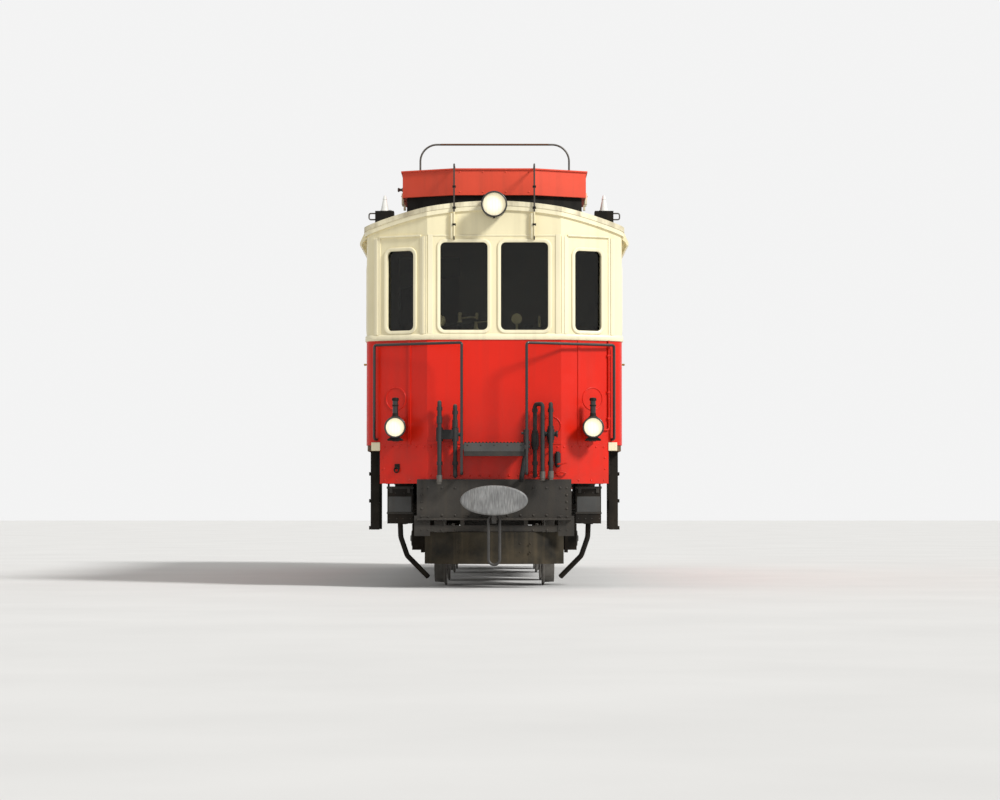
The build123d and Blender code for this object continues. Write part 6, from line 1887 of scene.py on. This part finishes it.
@dataclass
class Underfloor:
    """Rivets of the solebars and ladders, seams of the sand boxes, lids of the equipment boxes."""

    tools: Repeater
    solebar_x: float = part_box("solebars")[1].x
    solebar_low: float = 1.06
    tread_zs: tuple[float, ...] = (0.56, 0.82, 1.08)
    solebar_high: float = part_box("solebars")[1].z
    tank_x: float = 0.62
    tank_z: float = 0.85

    def build(self) -> None:
        """Make the pieces below the floor."""
        self.solebar_rivets()
        self.ladders()
        self.sand_boxes()
        self.equipment()
        self.tanks()

    def solebar_rivets(self) -> None:
        """Rivet the solebars' webs."""
        spots = []
        for side in SIDES:
            for z in (self.solebar_low + 0.035, self.solebar_high - 0.035):
                spots += [(xyz(side * self.solebar_x, y, z), ACROSS * side) for y in steps(-4.3, 4.3, 0.16)]
        self.tools.rivets("solebar_rivets", spots, 0.01, Shade.BLACK)

    def ladders(self) -> None:
        """Bolt the ladders' plates, and hem the edges of their treads."""
        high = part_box("step_ladders")[1]
        spots, forge = [], Forge("tread_hems")
        for end, side in CORNERS:
            x = side * (self.solebar_x + 0.043)
            for z in (1.26, 1.18, 0.92, 0.66):
                spots.append((xyz(x - 0.02, end * high.y, z), ALONG * end))
                spots.append((xyz(x + 0.02, end * high.y, z - 0.02), ALONG * end))
            for tread in self.tread_zs:
                forge.block((side * high.x, end * 3.74, tread - 0.012),
                            (side * (high.x - 0.006), end * (high.y - 0.004), tread + 0.022))
        forge.finish(Shade.BLACK, bevel=0.0015)
        self.tools.bolts("ladder_bolts", spots, 0.008, Shade.BLACK)

    def sand_boxes(self) -> None:
        """Lid, strap and hinge the sand boxes."""
        forge, panels, spots = Forge("sand_box_lids"), Forge("sand_box_panels"), []
        for end, side in CORNERS:
            inner, outer = side * 0.774, side * 1.026
            forge.block((inner, end * 4.394, 0.94), (outer, end * 4.648, 0.962))
            forge.block((inner, end * 4.394, 0.7), (outer, end * 4.648, 0.716))
            panels.block((side * 0.79, end * 4.638, 0.718), (side * 1.01, end * 4.644, 0.866))
            for x in (0.8, 0.97):
                forge.block((side * x, end * 4.64, 0.962), (side * (x + 0.03), end * 4.652, 0.9))
            spots += [(xyz(side * x, end * 4.64, 0.9), ALONG * end) for x in (0.86, 0.94)]
            spots += [(xyz(side * x, end * 4.64, 0.655), ALONG * end) for x in (0.8, 0.87, 0.93, 1.00)]
        forge.finish(Shade.HEADSTOCK, bevel=0.003)
        panels.finish(Shade.GREY, slot="black_paint", bevel=0.002)
        self.tools.rivets("sand_box_rivets", spots, 0.007, Shade.HEADSTOCK)

    def equipment(self) -> None:
        """Hinge and latch the doors of the equipment boxes."""
        low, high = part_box("equipment_boxes")
        panels, latches = Forge("equipment_doors"), Forge("equipment_latches")
        for side in SIDES:
            face = Face(xyz(side * high.x, 0, 0), ALONG, ACROSS * side)
            for start in steps(low.y + 0.02, high.y - 0.02, 0.75)[:-1]:
                span = (high.y - low.y - 0.04) / 3
                panels.slab(
                    face, (start + 0.02, start + span - 0.02), (low.z + 0.03, high.z - 0.05), (-0.001, 0.008))
                for run in (start + 0.12, start + span - 0.12):
                    latches.slab(
                        face, (run - 0.014, run + 0.014), (high.z - 0.075, high.z - 0.03), (0.004, 0.018))
                latches.rod(face.at(start + span / 2 - 0.05, low.z + 0.1, 0.014),
                            face.at(start + span / 2 + 0.05, low.z + 0.1, 0.014), 0.008)
        panels.finish(Shade.BLACK, bevel=0.003)
        latches.finish(Shade.RAIL, bevel=0.001)

    def tanks(self) -> None:
        """Band the air tanks."""
        forge = Forge("tank_bands")
        for side in SIDES:
            for y in (-0.38, 0.38):
                forge.lathe(xyz(side * self.tank_x, y - 0.02, self.tank_z), ALONG,
                            [(0, 0.188), (0, 0.196), (0.04, 0.196), (0.04, 0.188)], 48, hollow=True)
            cock = xyz(side * self.tank_x, -0.66, self.tank_z)
            forge.rod(cock, cock + ALONG * 0.06, 0.018)
        forge.finish(Shade.BLACK, smooth=45)


@dataclass
class Bogie:
    """Axlebox covers, spring buckles, brake gear and bolts of one bogie."""

    tools: Repeater
    row: str
    middle_y: float
    box_x: float = 0.808
    axle_z: float = 0.458
    half_wheelbase: float = 0.95
    frame_x: float = 0.705
    spring_top: float = 0.757
    brake_inner: float = 0.438
    brake_outer: float = 0.48

    @property
    def body(self) -> str:
        """Body of the frame that the pieces ride on."""
        return f"bogie_{self.row}"

    def build(self) -> None:
        """Make the bogie's pieces."""
        covers, steel, spots = Forge(f"{self.body}_covers"), Forge(f"{self.body}_buckles"), []
        for side in SIDES:
            out = ACROSS * side
            for turn in (-1, 1):
                y = self.middle_y + turn * self.half_wheelbase
                centre = xyz(side * (self.box_x - 0.006), y, self.axle_z)
                covers.lathe(centre, out, [(0, 0.078), (0.01, 0.078), (0.016, 0.07), (0.018, 0.03),
                                           (0.026, 0.026)], 32)
                for step in range(6):
                    angle = radians(60 * step + 30)
                    spots.append((centre + xyz(side * 0.01, 0.064 * cos(angle), 0.064 * sin(angle)), out))
                steel.block((side * 0.7, y - 0.035, 0.6), (side * 0.796, y + 0.035, self.spring_top + 0.006))
            frame_out = xyz(side * (self.frame_x + 0.016), 0, 0)
            for z in (0.672, 0.788):
                spots += [(xyz(frame_out.x, self.middle_y + run, z), out) for run in steps(-1.3, 1.3, 0.13)]
        self.brakes()
        covers.finish(Shade.MOTOR, self.body, bevel=0.002, smooth=40)
        steel.finish(Shade.BLACK, self.body, bevel=0.004)
        self.tools.rivets(f"{self.body}_bolts", spots, 0.01, Shade.BLACK, self.body)

    def brakes(self) -> None:
        """Hang a brake block on the inner side of each wheel, with its hanger and pin."""
        blocks, hangers = Forge(f"{self.body}_brake_blocks"), Forge(f"{self.body}_brake_hangers")
        for side in SIDES:
            for turn in (-1, 1):
                axle_y = self.middle_y + turn * self.half_wheelbase
                arc = [radians(-21 + 6 * step) for step in range(8)]
                inner = [(self.brake_inner * cos(a), self.brake_inner * sin(a)) for a in arc]
                outer = [(self.brake_outer * cos(a), self.brake_outer * sin(a)) for a in reversed(arc)]
                outline = [xyz(side * 0.505, axle_y - turn * reach, self.axle_z + rise)
                           for reach, rise in inner + outer]
                blocks.prism(outline, ACROSS * side * 0.085)
                y = axle_y - turn * (self.brake_outer + 0.012)
                hangers.block((side * 0.53, y - 0.022, self.axle_z - 0.07),
                              (side * 0.624, y + 0.022, self.axle_z + 0.05))
                hangers.block((side * 0.604, y - 0.026, self.axle_z - 0.09), (side * 0.626, y + 0.026, 0.79))
                for z in (self.axle_z - 0.01, 0.745):
                    hangers.rod(xyz(side * 0.596, y, z), xyz(side * 0.636, y, z), 0.02, sides=16)
                hangers.rod(xyz(side * 0.62, y, 0.745), xyz(side * 0.694, y, 0.745), 0.014, sides=14)
        blocks.finish(Shade.MOTOR, self.body, bevel=0.003)
        hangers.finish(Shade.BLACK, self.body, bevel=0.002)


@dataclass
class Interior:
    """Benches and cab desk details that show through the glass."""

    floor: float = BODY.floor_top
    bench_runs: Pair = (0.42, 1.12)
    benches: tuple[float, ...] = (-2.9, -1.75, 1.75, 2.9)

    def build(self) -> None:
        """Make the inside pieces."""
        seats, legs = Forge("bench_slats"), Forge("bench_legs")
        for side in SIDES:
            for y in self.benches:
                inner, outer = (side * run for run in self.bench_runs)
                for facing in (-1, 1):
                    back = y + facing * 0.06
                    for step in range(5):
                        near = back + facing * (0.04 + step * 0.082)
                        seats.block((inner, near, self.floor + 0.42),
                                    (outer, near + facing * 0.066, self.floor + 0.445))
                    for step in range(5):
                        low = self.floor + 0.5 + step * 0.088
                        seats.block((inner, y + facing * 0.045, low), (outer, y + facing * 0.065, low + 0.07))
                for x in (inner + side * 0.02, outer - side * 0.06):
                    legs.block(
                        (x, y - 0.035, self.floor - 0.002), (x + side * 0.04, y + 0.035, self.floor + 0.98))
                    legs.block(
                        (x, y - 0.42, self.floor + 0.37), (x + side * 0.04, y + 0.42, self.floor + 0.42))
                    for facing in (-1, 1):
                        legs.block((x, y + facing * 0.36, self.floor - 0.002),
                                   (x + side * 0.04, y + facing * 0.4, self.floor + 0.4))
        seats.finish(Shade.BENCH, bevel=0.004)
        legs.finish(Shade.CONTROL, bevel=0.003)
        self.controls()

    def controls(self) -> None:
        """Put the handles on the controllers and brake columns, and the gauges behind the end windows."""
        metal, cases, dials = Forge("control_handles"), Forge("gauge_cases"), Forge("gauge_dials")
        for end in SIDES:
            out = ALONG * end
            top = xyz(-0.33, end * 4.56, self.floor + 1.172)
            metal.lathe(top, UP, [(-0.02, 0.03), (0.01, 0.03), (0.02, 0.02), (0.075, 0.016), (0.09, 0.022),
                                  (0.105, 0.012)], 20)
            metal.pipe([top + UP * 0.045, top + xyz(0.1, end * 0.05, 0.055),
                        top + xyz(0.16, end * 0.06, 0.05)], 0.009, bend=0.02, sides=10)
            metal.lathe(top + xyz(0.165, end * 0.062, 0.03), UP,
                        [(0, 0.008), (0.01, 0.013), (0.05, 0.016), (0.066, 0.01)], 16)
            valve = xyz(-0.175, end * 4.6, self.floor + 1.06)
            metal.lathe(
                valve, UP, [(0, 0.04), (0.05, 0.036), (0.062, 0.02), (0.11, 0.016), (0.125, 0.022)], 20)
            metal.pipe([valve + UP * 0.115, valve + xyz(0.13, end * 0.03, 0.125)], 0.008, sides=10)
            column = xyz(0.33, end * 4.6, self.floor + 1.13)
            metal.rod(column + ACROSS * 0.1, column + ACROSS * 0.1 + UP * 0.11, 0.013, 0.01, sides=14)
            for x, z in ((0.215, 2.56), (-0.515, 2.54)):
                centre = xyz(x, end * 4.7, z)
                cases.lathe(centre - out * 0.045, out,
                            [(0, 0.046), (0.045, 0.052), (0.05, 0.052), (0.052, 0.046), (0.046, 0.042)], 28)
                dials.lathe(centre, out, [(-0.006, 0.043), (0.0005, 0.043)], 28)
                cases.rod(
                    xyz(x, centre.y - end * 0.02, self.floor + 0.9), centre - out * 0.02 - UP * 0.04, 0.012)
        metal.finish(Shade.HANDLE, smooth=50)
        cases.finish(Shade.HANDLE, smooth=50)
        dials.finish(Shade.PORCELAIN, smooth=50)


def main() -> None:
    """Dress the railcar, and report each piece."""
    logging.basicConfig(level=logging.INFO, format="%(name)s: %(message)s")
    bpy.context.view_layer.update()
    Stage().build()
    CadFinishes().build()
    tools = Repeater()
    for group in (Walls(tools), CabDoors(), LuggageDoors(tools), Lamps(tools), FrontGear(tools),
                  Headstock(tools), RoofDeck(tools), Pantograph(tools), Underfloor(tools),
                  Bogie(tools, "front", -2.75), Bogie(tools, "rear", 2.75), Interior()):
        group.build()


if __name__ == "__main__":
    main()
